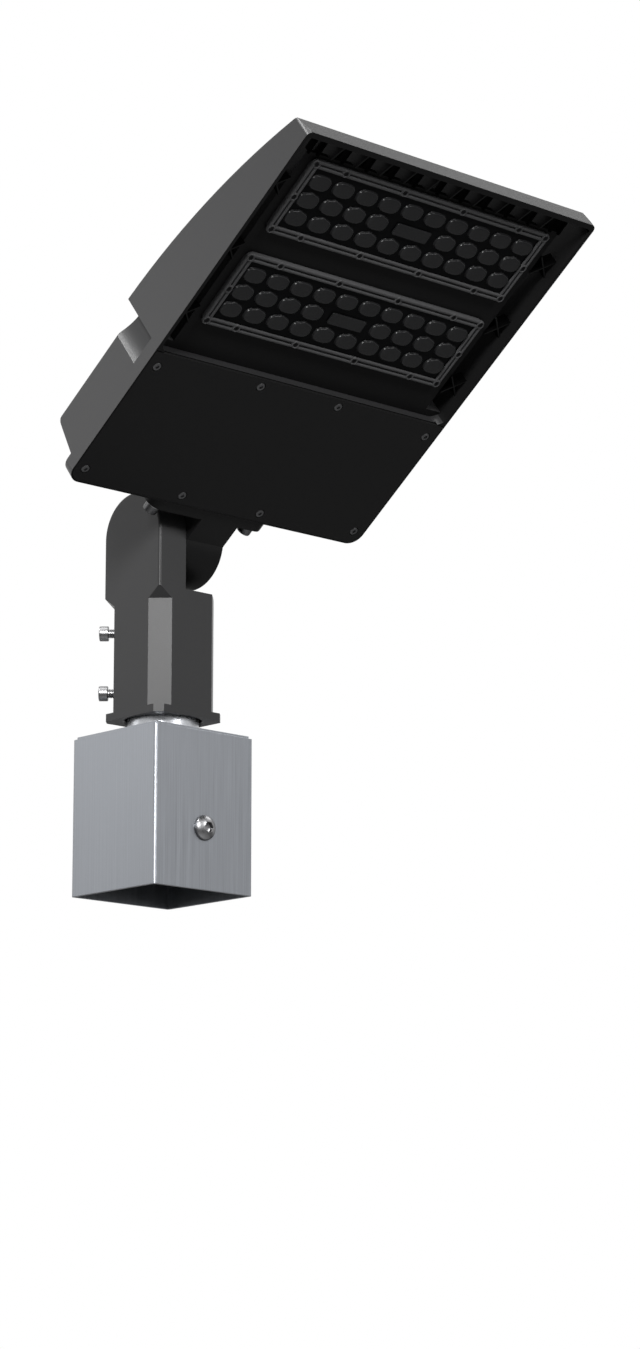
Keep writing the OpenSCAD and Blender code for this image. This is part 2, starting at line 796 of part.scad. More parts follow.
// The opening of the driver box, made larger by a margin, with a boss left round each front screw
module cavity_2d(margin) {
  w = cavity_w + 2 * margin;
  front_w = cavity_front_w + 2 * margin;
  y0 = cavity_y - margin;
  difference() {
    union() {
      translate([-w / 2, y0]) square([w, cavity_step_y - cavity_y + 2 * margin]);
      translate([-front_w / 2, y0]) square([front_w, cavity_front_y - cavity_y + 2 * margin]);
    }
    for (s = [-1, 1], p = [cover_screw_places[2], cover_screw_places[3]])
      translate([s * p[0], p[1]]) circle(cover_boss_r - margin);
  }
}

// The light bay between the walls in plan, with its own rear corners
module bay_2d(y0, corner_r) {
  l = tip_y - y0;
  translate([-wall_x, y0 + corner_r]) square([2 * wall_x, l - corner_r - bay_tip_r]);
  translate([corner_r - wall_x, y0]) square([2 * (wall_x - corner_r), corner_r + sink_in]);
  translate([bay_tip_r - wall_x, tip_y - bay_tip_r - sink_in])
    square([2 * (wall_x - bay_tip_r), bay_tip_r + sink_in]);
  for (s = [-1, 1]) {
    translate([s * (wall_x - corner_r), y0 + corner_r]) circle(corner_r);
    translate([s * (wall_x - bay_tip_r), tip_y - bay_tip_r]) circle(bay_tip_r);
  }
}

// Repeats a piece at the eight cover screws
module at_cover_screws() {
  for (s = [-1, 1], p = cover_screw_places) translate([s * p[0], p[1], 0]) children();
}

// Repeats a piece at the fourteen screws of a module
module at_module_screws(i) {
  for (u = module_screw_shares, s = [-1, 1])
    translate([u * module_screw_x, module_mid(i) + s * module_screw_y, 0]) children();
  for (s = [-1, 1]) translate([s * module_screw_x, module_mid(i), 0]) children();
}

function module_mid(i) = module_y + (i - 1) * module_pitch;

// A crossed pair of ribs between the middle plate and one side wall
module cross_ribs_2d(s) {
  x0 = island_w / 2 - sink_in;
  x1 = wall_x + sink_in;
  for (a = [-1, 1]) polygon([
    [s * x0, -a * cross_rise - rib_t / 2], [s * x1, a * cross_rise - rib_t / 2],
    [s * x1, a * cross_rise + rib_t / 2], [s * x0, -a * cross_rise + rib_t / 2]
  ]);
}

// A rib across the tip's air slot, seen from the side. Its lower edge slopes down to the rim.
module tip_rib_2d() {
  polygon([
    [island_y - sink_in, rib_low], [tip_y + sink_in, rib_tip_low],
    [tip_y + sink_in, sink_top], [island_y - sink_in, sink_top]
  ]);
}

// Fins, ribs and the lead duct, standing on the plate that carries the modules
module sink_inside() {
  floor_top = floor_z + floor_t;
  translate([-island_w / 2, bay_y, floor_z]) cube([island_w, island_y - bay_y, floor_t]);
  intersection() {
    union() {
      for (k = [-fin_pairs:fin_pairs])
        translate([k * fin_pitch - fin_t / 2, box_l - sink_in, floor_top - sink_in])
          cube([fin_t, tip_y - box_l + 2 * sink_in, sink_top]);
      for (s = [-1, 1])
        translate([s * (island_w - fin_t) / 2 - fin_t / 2, box_l - sink_in, floor_top - sink_in])
          cube([fin_t, tip_y - box_l + 2 * sink_in, sink_top]);
      for (k = [1:2:fin_pairs - 1], s = [-1, 1]) translate([s * k * fin_pitch, 0, 0]) across(fin_t) tip_rib_2d();
      for (s = [-1, 1]) translate([s * (island_w + side_slot) / 2, box_l - sink_in, floor_z])
        translate([-side_slot / 2 - sink_in, 0, 0])
          cube([side_slot + 2 * sink_in, scoop_end_t + sink_in, sink_top]);
      translate([-duct_w / 2, box_l - sink_in, floor_top - sink_in])
        cube([duct_w, module_mid(2) + duct_end - box_l + sink_in, duct_h + sink_in]);
    }
    across(head_w) sink_side_2d(fin_drop);
  }
  for (s = [-1, 1], u = cross_shares)
    translate([0, u * head_l, cross_low]) linear_extrude(rib_h) cross_ribs_2d(s);
}

module housing() {
  color("dimgray") in_head() difference() {
    union() {
      difference() {
        intersection() {
          linear_extrude(sink_top + over) head_plan(0);
          union() {
            translate([-head_w / 2, 0, 0]) cube([head_w, box_l, ledge_h]);
            intersection() {
              across(head_w) box_side_2d();
              along(0, box_l) box_front_2d();
            }
            across(head_w) sink_side_2d(0);
          }
        }
        for (s = [-1, 1]) side_notch(s);
        translate([0, 0, -over]) linear_extrude(floor_z + over) bay_2d(bay_y, bay_corner_r);
        translate([0, 0, floor_z - over]) linear_extrude(sink_top) bay_2d(box_l, bay_tip_r);
      }
      along(0, cavity_y) plate_2d();
      sink_inside();
    }
    translate([0, 0, -over]) linear_extrude(seat_z + over) intersection() {
      head_plan(cover_lip);
      translate([-head_w, 0]) square([2 * head_w, bay_y + over]);
    }
    translate([0, 0, seat_z - over]) linear_extrude(cavity_top - seat_z + over) cavity_2d(0);
    at_cover_screws()
      cylinder(r = cover_screw_d / 2 + run_gap, h = cover_head_h + cover_screw_l + seat_gap);
    at_driver_screws() translate([0, 0, cavity_top - over])
      cylinder(r = driver_screw_r + run_gap, h = driver_screw_bite + seat_gap + over);
    for (i = [1, 2]) {
      at_module_screws(i)
        cylinder(r = module_screw_d / 2 + run_gap, h = frame_z + bead_h + module_screw_l + seat_gap);
      translate([0, module_mid(i), floor_z - over]) cylinder(r = wire_hole_r, h = duct_z - floor_z + over);
    }
    translate([0, 0, duct_z]) bar_y(cavity_front_y - over, module_mid(2) + duct_r, duct_r);
    translate([lead_way_x, 0, grommet_z]) bar_y(-over, cavity_y + over, grommet_r);
    at_arm_bolts() bar_y(-over, arm_bolt_grip + over, arm_bolt_d / 2 + run_gap);
  }
}

module driver_cover() {
  color([0.1, 0.1, 0.11]) in_head() difference() {
    linear_extrude(cover_t) intersection() {
      head_plan(cover_lip + cover_gap);
      translate([-head_w, 0]) square([2 * head_w, bay_y]);
    }
    at_cover_screws() {
      translate([0, 0, -over]) cylinder(r = cover_screw_d / 2 + run_gap, h = cover_t + 2 * over);
      translate([0, 0, -over]) cylinder(r = cover_head_d / 2 + cover_head_gap, h = cover_head_h + over);
    }
  }
}

module cover_gasket() {
  color("black") in_head() translate([0, 0, cover_t]) linear_extrude(gasket_t) difference() {
    cavity_2d(gasket_step + gasket_w);
    cavity_2d(gasket_step);
  }
}

module cover_screws() {
  color("gray") in_head() at_cover_screws() translate([0, 0, cover_head_h]) rotate([0, 90, 0])
    socket_bolt(
      cover_screw_d / 2, cover_screw_l, cover_head_d / 2, cover_head_h, cover_hex_r, cover_hex_l
    );
}

// Parts in the driver box

// Repeats a piece at the two screws of the driver
module at_driver_screws() {
  for (s = [-1, 1])
    translate([driver_x + s * (driver_w - driver_foot_l) / 2, driver_y + driver_l / 2, 0]) children();
}

module led_driver() {
  color("lightgray") in_head() difference() {
    union() {
      translate([driver_x - driver_w / 2 + driver_foot_l, driver_y, cavity_top - driver_h])
        cube([driver_w - 2 * driver_foot_l, driver_l, driver_h]);
      translate([driver_x - driver_w / 2, driver_y, cavity_top - driver_foot_t])
        cube([driver_w, driver_l, driver_foot_t]);
    }
    at_driver_screws() translate([0, 0, cavity_top - driver_foot_t - over])
      cylinder(r = driver_slot_r, h = driver_foot_t + 2 * over);
  }
}

module driver_screws() {
  color("silver") in_head() at_driver_screws() translate([0, 0, cavity_top - driver_foot_t]) {
    translate([0, 0, -driver_screw_head_h]) cylinder(r = driver_screw_head_r, h = driver_screw_head_h);
    translate([0, 0, -sink_in])
      cylinder(r = driver_screw_r, h = driver_foot_t + driver_screw_bite + sink_in);
  }
}

module surge_protector() {
  color("white") in_head() translate([surge_x - surge_w / 2, surge_y, cavity_top - surge_h])
    cube([surge_w, surge_l, surge_h]);
}

module terminal_block() {
  color("ivory") in_head() difference() {
    translate([terminal_x - terminal_w / 2, cavity_y, grommet_z - terminal_h / 2])
      cube([terminal_w, terminal_l, terminal_h]);
    for (k = [-1, 0, 1]) translate([terminal_x + k * terminal_w / 3, 0, grommet_z])
      bar_y(cavity_y + terminal_l / 2, cavity_y + terminal_l + over, terminal_slot_r);
  }
}

module module_leads() {
  lead_y0 = driver_y + driver_l;
  lead_y1 = module_mid(2);
  color("firebrick") in_head() {
    translate([0, 0, duct_z]) bar_y(lead_y0, lead_y1, lead_r);
    for (i = [1, 2]) translate([0, module_mid(i), floor_z]) cylinder(r = lead_r, h = duct_z - floor_z);
    translate([0, lead_y1, duct_z]) sphere(lead_r);
  }
}

// Light modules

// Places a piece on the module's middle
module in_module(i) {
  in_head() translate([0, module_mid(i), 0]) children();
}

// Repeats a piece at every lens, leaving out the middle two
module at_lenses() {
  mid_row = (lens_rows - 1) / 2;
  mid_col = (lens_cols - 1) / 2;
  for (c = [0:lens_cols - 1], r = [0:lens_rows - 1])
    if (!(r == mid_row && abs(c - mid_col) < 1))
      translate([(c - mid_col) * lens_pitch_x, (r - mid_row) * lens_pitch_y, 0]) children();
}

module led_board(i) {
  color([0.05, 0.05, 0.05]) in_module(i) translate([0, 0, board_z]) linear_extrude(board_t)
    rounded_2d(panel_w, panel_l, panel_r);
}

module led_chips(i) {
  color("khaki") in_module(i) at_lenses() translate([-chip_w / 2, -chip_w / 2, board_z - chip_t])
    cube([chip_w, chip_w, chip_t]);
}

// One lens, drawn upwards from the panel: a low pillow with a small hood towards the tip
module lens() {
  intersection() {
    linear_extrude(lens_h) rounded_2d(lens_w, lens_l, lens_r);
    translate([0, 0, lens_h - lens_dome_r]) sphere(lens_dome_r);
  }
  translate([0, lens_l / 2 - lens_hood_r, 0]) cylinder(r1 = lens_hood_r, r2 = lens_hood_r / 2, h = lens_h);
}

module lens_panel(i) {
  color([0.16, 0.16, 0.17]) in_module(i) difference() {
    union() {
      translate([0, 0, panel_z]) linear_extrude(panel_t) rounded_2d(panel_w, panel_l, panel_r);
      translate([0, 0, panel_z + sink_in]) at_lenses() mirror([0, 0, 1]) lens();
    }
    translate([0, 0, board_z - chip_pocket_l]) at_lenses() cylinder(r = chip_pocket_r, h = chip_pocket_l + over);
  }
}

module lens_gasket(i) {
  lip = 2 * band_lip;
  color("black") in_module(i) translate([0, 0, lens_gasket_z]) linear_extrude(lens_gasket_t) difference() {
    rounded_2d(panel_w, panel_l, panel_r);
    square([panel_w - lip, panel_l - lip], center = true);
  }
}

// The frame's band in plan, between an outer and an inner distance from its edge
module band_2d(outer, inner, r) {
  difference() {
    rounded_2d(module_w - 2 * outer, module_l - 2 * outer, r);
    square([module_w - 2 * inner, module_l - 2 * inner], center = true);
  }
}

module module_frame(i) {
  bead_z = frame_z + bead_h;
  color("black") difference() {
    union() {
      in_module(i) {
        translate([0, 0, lens_gasket_z]) linear_extrude(floor_z - lens_gasket_z)
          band_2d(0, band_w - band_lip - band_gap, frame_r);
        translate([0, 0, bead_z]) linear_extrude(lens_gasket_z - bead_z) band_2d(0, band_w, frame_r);
        translate([0, 0, frame_z]) linear_extrude(bead_h + sink_in) {
          band_2d(bead_in, bead_in + bead_w, frame_r - bead_in);
          band_2d(band_w - bead_in - bead_w, band_w - bead_in, bead_r);
        }
      }
      in_head() at_module_screws(i) translate([0, 0, frame_z])
        cylinder(r = module_boss_r, h = lens_gasket_z - frame_z);
    }
    in_head() at_module_screws(i) translate([0, 0, frame_z - over]) {
      cylinder(r = module_screw_d / 2 + run_gap, h = frame_h + 2 * over);
      cylinder(r = module_head_r + seat_gap, h = bead_h + over);
    }
  }
}

module module_screws(i) {
  color("gray") in_head() at_module_screws(i) translate([0, 0, frame_z + bead_h]) rotate([0, 90, 0])
    socket_bolt(
      module_screw_d / 2, module_screw_l, module_head_r, module_head_h, module_hex_r, module_hex_l
    );
}

module connector_cover(i) {
  color("black") in_module(i) translate([0, 0, panel_z - block_h]) linear_extrude(block_h)
    rounded_2d(block_w, block_l, block_r);
}

pole_sleeve();
cap_plate();
tenon();
pole_screws();
slip_fitter();
tilt_bolt();
tilt_washer();
tilt_seal();
set_screw(1);  // set_screw_upper
set_screw(0);  // set_screw_lower
knuckle_arm();
arm_gasket();
arm_washers();
arm_bolts();
lead_grommet();
housing();
driver_cover();
cover_gasket();
cover_screws();
led_driver();
driver_screws();
surge_protector();
terminal_block();
module_leads();
led_board(1);  // led_board_1
led_chips(1);  // led_chips_1
lens_panel(1);  // lens_panel_1
lens_gasket(1);  // lens_gasket_1
module_frame(1);  // module_frame_1
module_screws(1);  // module_screws_1
connector_cover(1);  // connector_cover_1
led_board(2);  // led_board_2
led_chips(2);  // led_chips_2
lens_panel(2);  // lens_panel_2
lens_gasket(2);  // lens_gasket_2
module_frame(2);  // module_frame_2
module_screws(2);  // module_screws_2
connector_cover(2);  // connector_cover_2
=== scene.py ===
import json
import math

import bmesh
import bpy
from bpy.props import FloatProperty, FloatVectorProperty, IntProperty, PointerProperty
from bpy.types import Operator, Panel, PropertyGroup
from mathutils import Matrix, Vector
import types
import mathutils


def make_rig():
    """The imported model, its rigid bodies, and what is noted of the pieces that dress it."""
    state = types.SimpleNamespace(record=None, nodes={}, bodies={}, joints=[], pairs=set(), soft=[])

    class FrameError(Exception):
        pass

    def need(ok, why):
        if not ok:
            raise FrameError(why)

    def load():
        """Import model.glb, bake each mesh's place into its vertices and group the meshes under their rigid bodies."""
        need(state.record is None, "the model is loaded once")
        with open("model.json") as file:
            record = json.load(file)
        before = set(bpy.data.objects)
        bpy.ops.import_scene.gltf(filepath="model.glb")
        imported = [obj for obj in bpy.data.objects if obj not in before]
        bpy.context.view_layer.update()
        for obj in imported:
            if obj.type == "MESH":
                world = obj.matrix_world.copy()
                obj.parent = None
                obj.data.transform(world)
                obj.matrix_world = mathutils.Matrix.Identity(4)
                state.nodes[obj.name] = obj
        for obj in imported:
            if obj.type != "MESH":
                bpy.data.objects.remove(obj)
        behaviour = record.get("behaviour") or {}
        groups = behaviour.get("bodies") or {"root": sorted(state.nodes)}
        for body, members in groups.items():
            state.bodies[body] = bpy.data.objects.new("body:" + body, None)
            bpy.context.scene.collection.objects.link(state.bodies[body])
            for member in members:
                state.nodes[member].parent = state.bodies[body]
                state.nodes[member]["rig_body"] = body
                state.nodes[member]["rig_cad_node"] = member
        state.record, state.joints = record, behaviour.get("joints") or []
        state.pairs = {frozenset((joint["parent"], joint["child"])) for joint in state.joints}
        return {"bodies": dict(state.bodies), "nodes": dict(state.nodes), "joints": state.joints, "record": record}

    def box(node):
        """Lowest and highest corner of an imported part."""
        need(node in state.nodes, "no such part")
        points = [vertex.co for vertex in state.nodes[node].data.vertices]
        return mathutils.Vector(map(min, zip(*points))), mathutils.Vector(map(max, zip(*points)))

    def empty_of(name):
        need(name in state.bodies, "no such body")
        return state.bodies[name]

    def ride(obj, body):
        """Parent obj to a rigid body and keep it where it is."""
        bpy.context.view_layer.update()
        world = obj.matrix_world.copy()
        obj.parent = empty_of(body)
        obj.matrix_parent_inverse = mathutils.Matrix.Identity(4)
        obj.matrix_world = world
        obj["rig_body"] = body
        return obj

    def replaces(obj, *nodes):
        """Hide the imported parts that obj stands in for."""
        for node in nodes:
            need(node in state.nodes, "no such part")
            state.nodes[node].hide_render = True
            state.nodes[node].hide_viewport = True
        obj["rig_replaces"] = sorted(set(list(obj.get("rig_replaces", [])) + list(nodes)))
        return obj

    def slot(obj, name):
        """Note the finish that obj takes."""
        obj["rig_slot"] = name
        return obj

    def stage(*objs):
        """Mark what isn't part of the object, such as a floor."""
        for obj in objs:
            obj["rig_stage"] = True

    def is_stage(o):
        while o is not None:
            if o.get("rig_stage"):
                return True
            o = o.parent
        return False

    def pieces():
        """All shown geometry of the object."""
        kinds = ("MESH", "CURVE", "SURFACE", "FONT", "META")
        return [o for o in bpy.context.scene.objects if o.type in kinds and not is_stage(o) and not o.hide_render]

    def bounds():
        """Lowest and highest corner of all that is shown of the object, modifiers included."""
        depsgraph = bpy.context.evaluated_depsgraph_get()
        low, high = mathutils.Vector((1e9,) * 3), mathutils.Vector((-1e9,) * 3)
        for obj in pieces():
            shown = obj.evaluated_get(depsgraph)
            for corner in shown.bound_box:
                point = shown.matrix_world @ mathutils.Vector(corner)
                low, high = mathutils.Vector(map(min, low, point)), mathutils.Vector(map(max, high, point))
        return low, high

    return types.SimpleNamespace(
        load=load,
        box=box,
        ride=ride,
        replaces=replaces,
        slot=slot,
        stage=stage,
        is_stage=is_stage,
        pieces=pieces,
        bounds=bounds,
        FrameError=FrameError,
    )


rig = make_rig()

bl_info = {
    "name": "Area light",
    "version": (1, 0, 0),
    "blender": (4, 5, 0),
    "location": "3D View > Sidebar > Area light",
    "description": "Dresses the area light's frame with finishes, screws, lenses and a studio",
    "category": "Object",
}

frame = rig.load()
FIRST_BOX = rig.bounds()


# Places. Lengths are in mm. The head's own axes are X across, Y from the rear edge to the tip
# and Z from the lens side to the back.

MM = 0.001
TILT = next(joint for joint in frame["joints"] if joint["name"] == "tilt")
PIVOT = Vector(TILT["pos_m"])
HEAD_TILT = math.radians(-TILT["range_deg"][0])  # the joint's lower limit lays the head level
PIVOT_BACK = 59.4  # the tilt axis behind the head's rear edge
PIVOT_UP = 29.6  # the tilt axis above the head's lens side


def head_place(x, y, z):
    """Matrix from a point in the head's own axes, in mm, to the frame's axes, in metres."""
    turn = Matrix.Translation(PIVOT) @ Matrix.Rotation(-HEAD_TILT, 4, "X")
    rear_edge = Matrix.Translation(Vector((0, -PIVOT_BACK, -PIVOT_UP)) * MM)
    flip = Matrix.Scale(-1, 4, Vector((0, 1, 0)))
    return turn @ rear_edge @ flip @ Matrix.Translation(Vector((x, y, z)) * MM)


TO_HEAD = head_place(0, 0, 0).inverted()
BACK_TO_FRONT = Matrix.Scale(-1, 4, Vector((0, 0, 1)))


def facing(axis):
    """Rotation that turns +Z to an axis."""
    return Vector(axis).to_track_quat("Z", "Y").to_matrix().to_4x4()


def row_place(x, y, z):
    """Matrix from a point in the frame's axes, in mm, to metres."""
    return Matrix.Translation(Vector((x, y, z)) * MM)


def row_box(node):
    """Lowest and highest corners of a node in the frame's axes, in mm."""
    return [Vector(corner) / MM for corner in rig.box(node)]


def head_box(node):
    """Lowest and highest corners of a node in the head's own axes, in mm."""
    points = [TO_HEAD @ v.co / MM for v in frame["nodes"][node].data.vertices]
    return [Vector([pick(axis) for axis in zip(*points)]) for pick in (min, max)]


# Light modules, from the frame's lens panels and boards

PANELS = [head_box(f"lens_panel_{i}") for i in (1, 2)]
MODULE_Y = [(low.y + high.y) / 2 for low, high in PANELS]
PANEL_W, PANEL_L = (PANELS[0][1] - PANELS[0][0]).xy
PLATE_T = 1.2  # thickness of a lens plate
PLATE_Z = head_box("led_board_1")[0].z - PLATE_T  # its outer face
BAY_FLOOR = head_box("led_board_1")[1].z

BAND_W = 7.3  # width of a module frame's sides
BAND_OVER = 1.6  # their overlap on the lens panel
BAND_H = 4.5
FRAME_W = PANEL_W + 2 * (BAND_W - BAND_OVER)
FRAME_L = PANEL_L + 2 * (BAND_W - BAND_OVER)
FRAME_R = 7  # round corners
LIP_W = 3.0  # each of the two lips along a side
SCREW_SHARES = (-1, -0.755, -0.255, 0.255, 0.755, 1)  # screws along half a long side
SCREW_SINK = 0.8  # their seats below the frame's face

LENS_STEP = (25.33, 17.8)  # from lens to lens
LENS_W, LENS_L = 20.8, 13.6
LENS_PEAK = 0.2  # how far a peaked lens is drawn out, as a share

# Borders between the housing's plain coat and its darker coats of painted shade, in the head's own axes

WALL_X = 159  # just past the side walls' inner faces
SLOT_X = (142.2, 157)  # side air slots
BAY_Y = (139.2, 360)  # light bay, from its rear wall to the tip wall
REAR_WALL_Y = 150  # faces before this that look at the tip are the bay's rear wall
TIP_SLOT_Y = 341.5  # the tip's air slot starts here
RIM_Z = 0.2  # just above the rim of the lens side

# Webs deep in the tip's air slot, between the fins and the tip wall

FIN_STEP = 13.1
EDGE_FIN = 10.77  # place of the outermost fins, in steps
WEB_SIZE = (1.8, 19, 11)
WEB_Y, WEB_Z = 350.2, 15

# Screws' seats

ARM_WASHER_R = 8
SET_SCREW_R = 6.5  # a set screw's head in the frame
SET_SCREW_SEAT = 33.155  # of X and of Y, on the fitter's cut corner
COVER_SEAT_Z = 1.6
COVER_SCREWS = ((150.5, 14), (43.5, 9.8), (150.5, 125), (43.5, 131.4))  # one side's four

# Camera, solved from the photograph's edges

CAMERA_PLACE = (-1.92691, -2.25859, -0.57047)
CAMERA_TURN = (102.0, 0, -43.03)  # degrees

# Studio, in metres: the floor, and each lamp's place and diameter

FLOOR_Z = -3
FLOOR_SIZE = 20
FLOOR_COLOR = (0.8, 0.8, 0.8, 1)
FLOOR_GLOW = 0.4  # what the camera sees on top of its own light
LAMP_AIM = (0, -0.1, 0.15)
LAMPS = {
    "Overhead": ((-0.3, -0.2, 3.0), 2.6),
    "High": ((-1.9, -0.05, 2.6), 0.8),
    "Right": ((2.1, -0.1, 2.9), 2.2),
    "Front": ((0.3, -2.9, 1.35), 1.2),
    "Side": ((-1.9, 2.2, 0.95), 1.3),
    "Edge": ((-2.35, -2.0, 1.05), 0.8),
}


# Meshes


def hexagon_radius(across_flats, angle):
    """Distance from the centre to a hexagon's edge at an angle."""
    sixth = math.pi / 3
    return across_flats / 2 / math.cos((angle % sixth) - sixth / 2)


def ring(bm, z, radius, steps, hexagon=False, knurl=0.0):
    """One loop of a screw. radius is to the flats of a hexagon, knurl the depth of its grooves."""
    loop = bmesh.ops.create_circle(bm, cap_ends=False, segments=steps, radius=radius)["verts"]
    for i, v in enumerate(loop):
        angle = math.atan2(v.co.y, v.co.x)
        r = hexagon_radius(2 * radius, angle) if hexagon else radius
        if knurl and i % 2:
            r -= knurl
        v.co = Vector((r * math.cos(angle), r * math.sin(angle), z))
    return loop


def loop_edges(loop):
    """The edges of a closed loop of vertices."""
    inside = set(loop)
    return list({e for v in loop for e in v.link_edges if all(w in inside for w in e.verts)})


def bridge(bm, edges):
    """Walls from each loop of edges to the next."""
    for a, b in zip(edges, edges[1:]):
        bmesh.ops.bridge_loops(bm, edges=a + b)


def loft(bm, stations, steps=24):
    """A closed body through rings, each (z, radius), (z, radius, hexagon) or with a knurl too."""
    loops = [ring(bm, station[0], station[1], steps, *station[2:]) for station in stations]
    edges = [loop_edges(loop) for loop in loops]
    bridge(bm, edges)
    for end in (edges[0], edges[-1]):
        bmesh.ops.edgeloop_fill(bm, edges=end)
    return [v for loop in loops for v in loop]


def thread(bm, z0, z1, crest, pitch, depth, steps=20):
    """A raised helix round a shank, sunk into it by a hair."""
    root = crest - depth
    sunk = root - 0.05
    path = [(sunk, 0), (root, 0.1), (crest, 0.45), (crest, 0.55), (root, 0.9), (sunk, 1)]
    verts = [bm.verts.new((r, 0, z0 + share * pitch)) for r, share in path]
    edges = [bm.edges.new(pair) for pair in zip(verts, verts[1:])]
    turns = (z1 - z0) / pitch - 1
    count = max(1, round(turns * steps))
    bmesh.ops.spin(
        bm, geom=verts + edges, cent=(0, 0, 0), axis=(0, 0, 1), dvec=(0, 0, pitch / steps),
        angle=count / steps * 2 * math.pi, steps=count, use_duplicate=False,
    )
    bmesh.ops.remove_doubles(bm, verts=bm.verts, dist=0.001)


def lens_ring(bm, z, share, peak, steps=32):
    """One loop of a lens: an oval with flattened sides, drawn out towards the tip by a peak."""
    flat = 2.7  # 2 is an ellipse, more is squarer
    peak_angle = 0.6  # half the peak's width, in radians
    loop = bmesh.ops.create_circle(bm, cap_ends=False, segments=steps, radius=1)["verts"]
    for v in loop:
        angle = math.atan2(v.co.y, v.co.x)
        c, s = math.cos(angle), math.sin(angle)
        r = share / (abs(2 * c / LENS_W) ** flat + abs(2 * s / LENS_L) ** flat) ** (1 / flat)
        near = max(0.0, 1 - abs(angle - math.pi / 2) / peak_angle)
        r *= 1 + peak * near * near * (3 - 2 * near)
        v.co = Vector((r * c, r * s, z))
    return loop


def lens_dome(bm, peak):
    """A low moulded lens with a steep side, a round shoulder and a domed top."""
    stations = [
        (-0.3, 1.06), (0.0, 1.05), (0.35, 1.0), (1.3, 0.985), (1.8, 0.95), (2.1, 0.88),
        (2.28, 0.74), (2.38, 0.5), (2.42, 0.22),
    ]
    edges = []
    for z, share in stations:
        fade = min(1, 1.15 - z / 4)  # the peak dies away towards the top
        edges.append(loop_edges(lens_ring(bm, z, share, peak * fade)))
    bridge(bm, edges)
    bmesh.ops.edgeloop_fill(bm, edges=edges[-1])


def rounded_loop(bm, width, length, radius, z, steps=6):
    """A closed loop round a rectangle with round corners."""
    verts = []
    for sx, sy, start in ((1, 1, 0), (-1, 1, 90), (-1, -1, 180), (1, -1, 270)):
        for k in range(steps + 1):
            a = math.radians(start + 90 * k / steps)
            x = sx * (width / 2 - radius) + radius * math.cos(a)
            y = sy * (length / 2 - radius) + radius * math.sin(a)
            verts.append(bm.verts.new((x, y, z)))
    for a, b in zip(verts, verts[1:] + verts[:1]):
        bm.edges.new((a, b))
    return verts


def swept_frame(bm, width, length, radius, profile):
    """A frame of one closed profile, given as (distance in from the outer edge, height)."""
    loops = []
    for inset, z in profile:
        r = max(radius - inset, 0.3)
        loops.append(
            loop_edges(rounded_loop(bm, width - 2 * inset, length - 2 * inset, r, z))
        )
    bridge(bm, loops + loops[:1])


def finished(name, bm, body, material, slot, places, smooth=35):
    """Turns a bmesh drawn in mm into a piece that rides on a body: one copy at each place."""
    source = bpy.data.meshes.new(name)
    bmesh.ops.recalc_face_normals(bm, faces=bm.faces)
    bm.to_mesh(source)
    bm.free()
    out = bmesh.new()
    for place in places:
        before = len(out.verts)
        out.from_mesh(source)
        out.verts.ensure_lookup_table()
        fresh = out.verts[before:]
        bmesh.ops.transform(out, matrix=place @ Matrix.Scale(MM, 4), verts=fresh)
        if place.determinant() < 0:
            faces = list({f for v in fresh for f in v.link_faces})
            bmesh.ops.reverse_faces(out, faces=faces)
    mesh = bpy.data.meshes.new(name)
    out.to_mesh(mesh)
    out.free()
    bpy.data.meshes.remove(source)
    mesh.shade_smooth()
    mesh.set_sharp_from_angle(angle=math.radians(smooth))
    mesh.materials.append(material)
    piece = bpy.data.objects.new(name, mesh)
    bpy.context.scene.collection.objects.link(piece)
    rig.ride(piece, body)
    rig.slot(piece, slot)
    return piece


def softened(node, body, materials, slot, width, material_of=None):
    """A copy of a node's solid with its sharp edges rounded, in place of the node.
    material_of tells which of the materials, counted from 0, a face takes."""
    bm = bmesh.new()
    bm.from_mesh(frame["nodes"][node].data)
    weld, flat = 2e-6, math.radians(0.4)
    bmesh.ops.remove_doubles(bm, verts=bm.verts, dist=weld)
    bmesh.ops.dissolve_limit(bm, angle_limit=flat, verts=bm.verts, edges=bm.edges)
    if material_of:
        for face in bm.faces:
            face.material_index = material_of(face)
    mesh = bpy.data.meshes.new(node + "_rounded")
    bm.to_mesh(mesh)
    bm.free()
    mesh.shade_smooth()
    for material in materials:
        mesh.materials.append(material)
    piece = bpy.data.objects.new(node + "_rounded", mesh)
    bpy.context.scene.collection.objects.link(piece)
    edge = piece.modifiers.new("Edges", "BEVEL")
    edge.width = width * MM
    edge.segments = 2
    edge.limit_method = "ANGLE"
    edge.angle_limit = math.radians(30)
    edge.use_clamp_overlap = True
    edge.miter_outer = "MITER_ARC"
    weights = piece.modifiers.new("Normals", "WEIGHTED_NORMAL")
    weights.keep_sharp = True
    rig.ride(piece, body)
    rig.slot(piece, slot)
    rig.replaces(piece, node)
    return piece


def paint_node(node, material):
    """Gives a node that keeps its own shape a material."""
    slots = frame["nodes"][node].data.materials
    slots.clear()
    slots.append(material)


# Finishes


def group_nodes(name, inputs):
    """A shader node group with named inputs that puts out a colour, a roughness and a height."""
    group = bpy.data.node_groups.new(name, "ShaderNodeTree")
    for socket, kind, value in inputs:
        made = group.interface.new_socket(socket, in_out="INPUT", socket_type=kind)
        made.default_value = value
    for socket, kind in (
        ("Color", "NodeSocketColor"), ("Roughness", "NodeSocketFloat"),
        ("Height", "NodeSocketFloat"),
    ):
        group.interface.new_socket(socket, in_out="OUTPUT", socket_type=kind)
    nodes = group.nodes
    return group, nodes.new("NodeGroupInput"), nodes.new("NodeGroupOutput"), nodes, group.links


def math_node(nodes, links, operation, a, b, clamp=False):
    """A Math node fed by sockets or numbers."""
    node = nodes.new("ShaderNodeMath")
    node.operation = operation
    node.use_clamp = clamp
    for socket, value in zip(node.inputs, (a, b)):
        if isinstance(value, (int, float)):
            socket.default_value = value
        else:
            links.new(value, socket)
    return node.outputs[0]


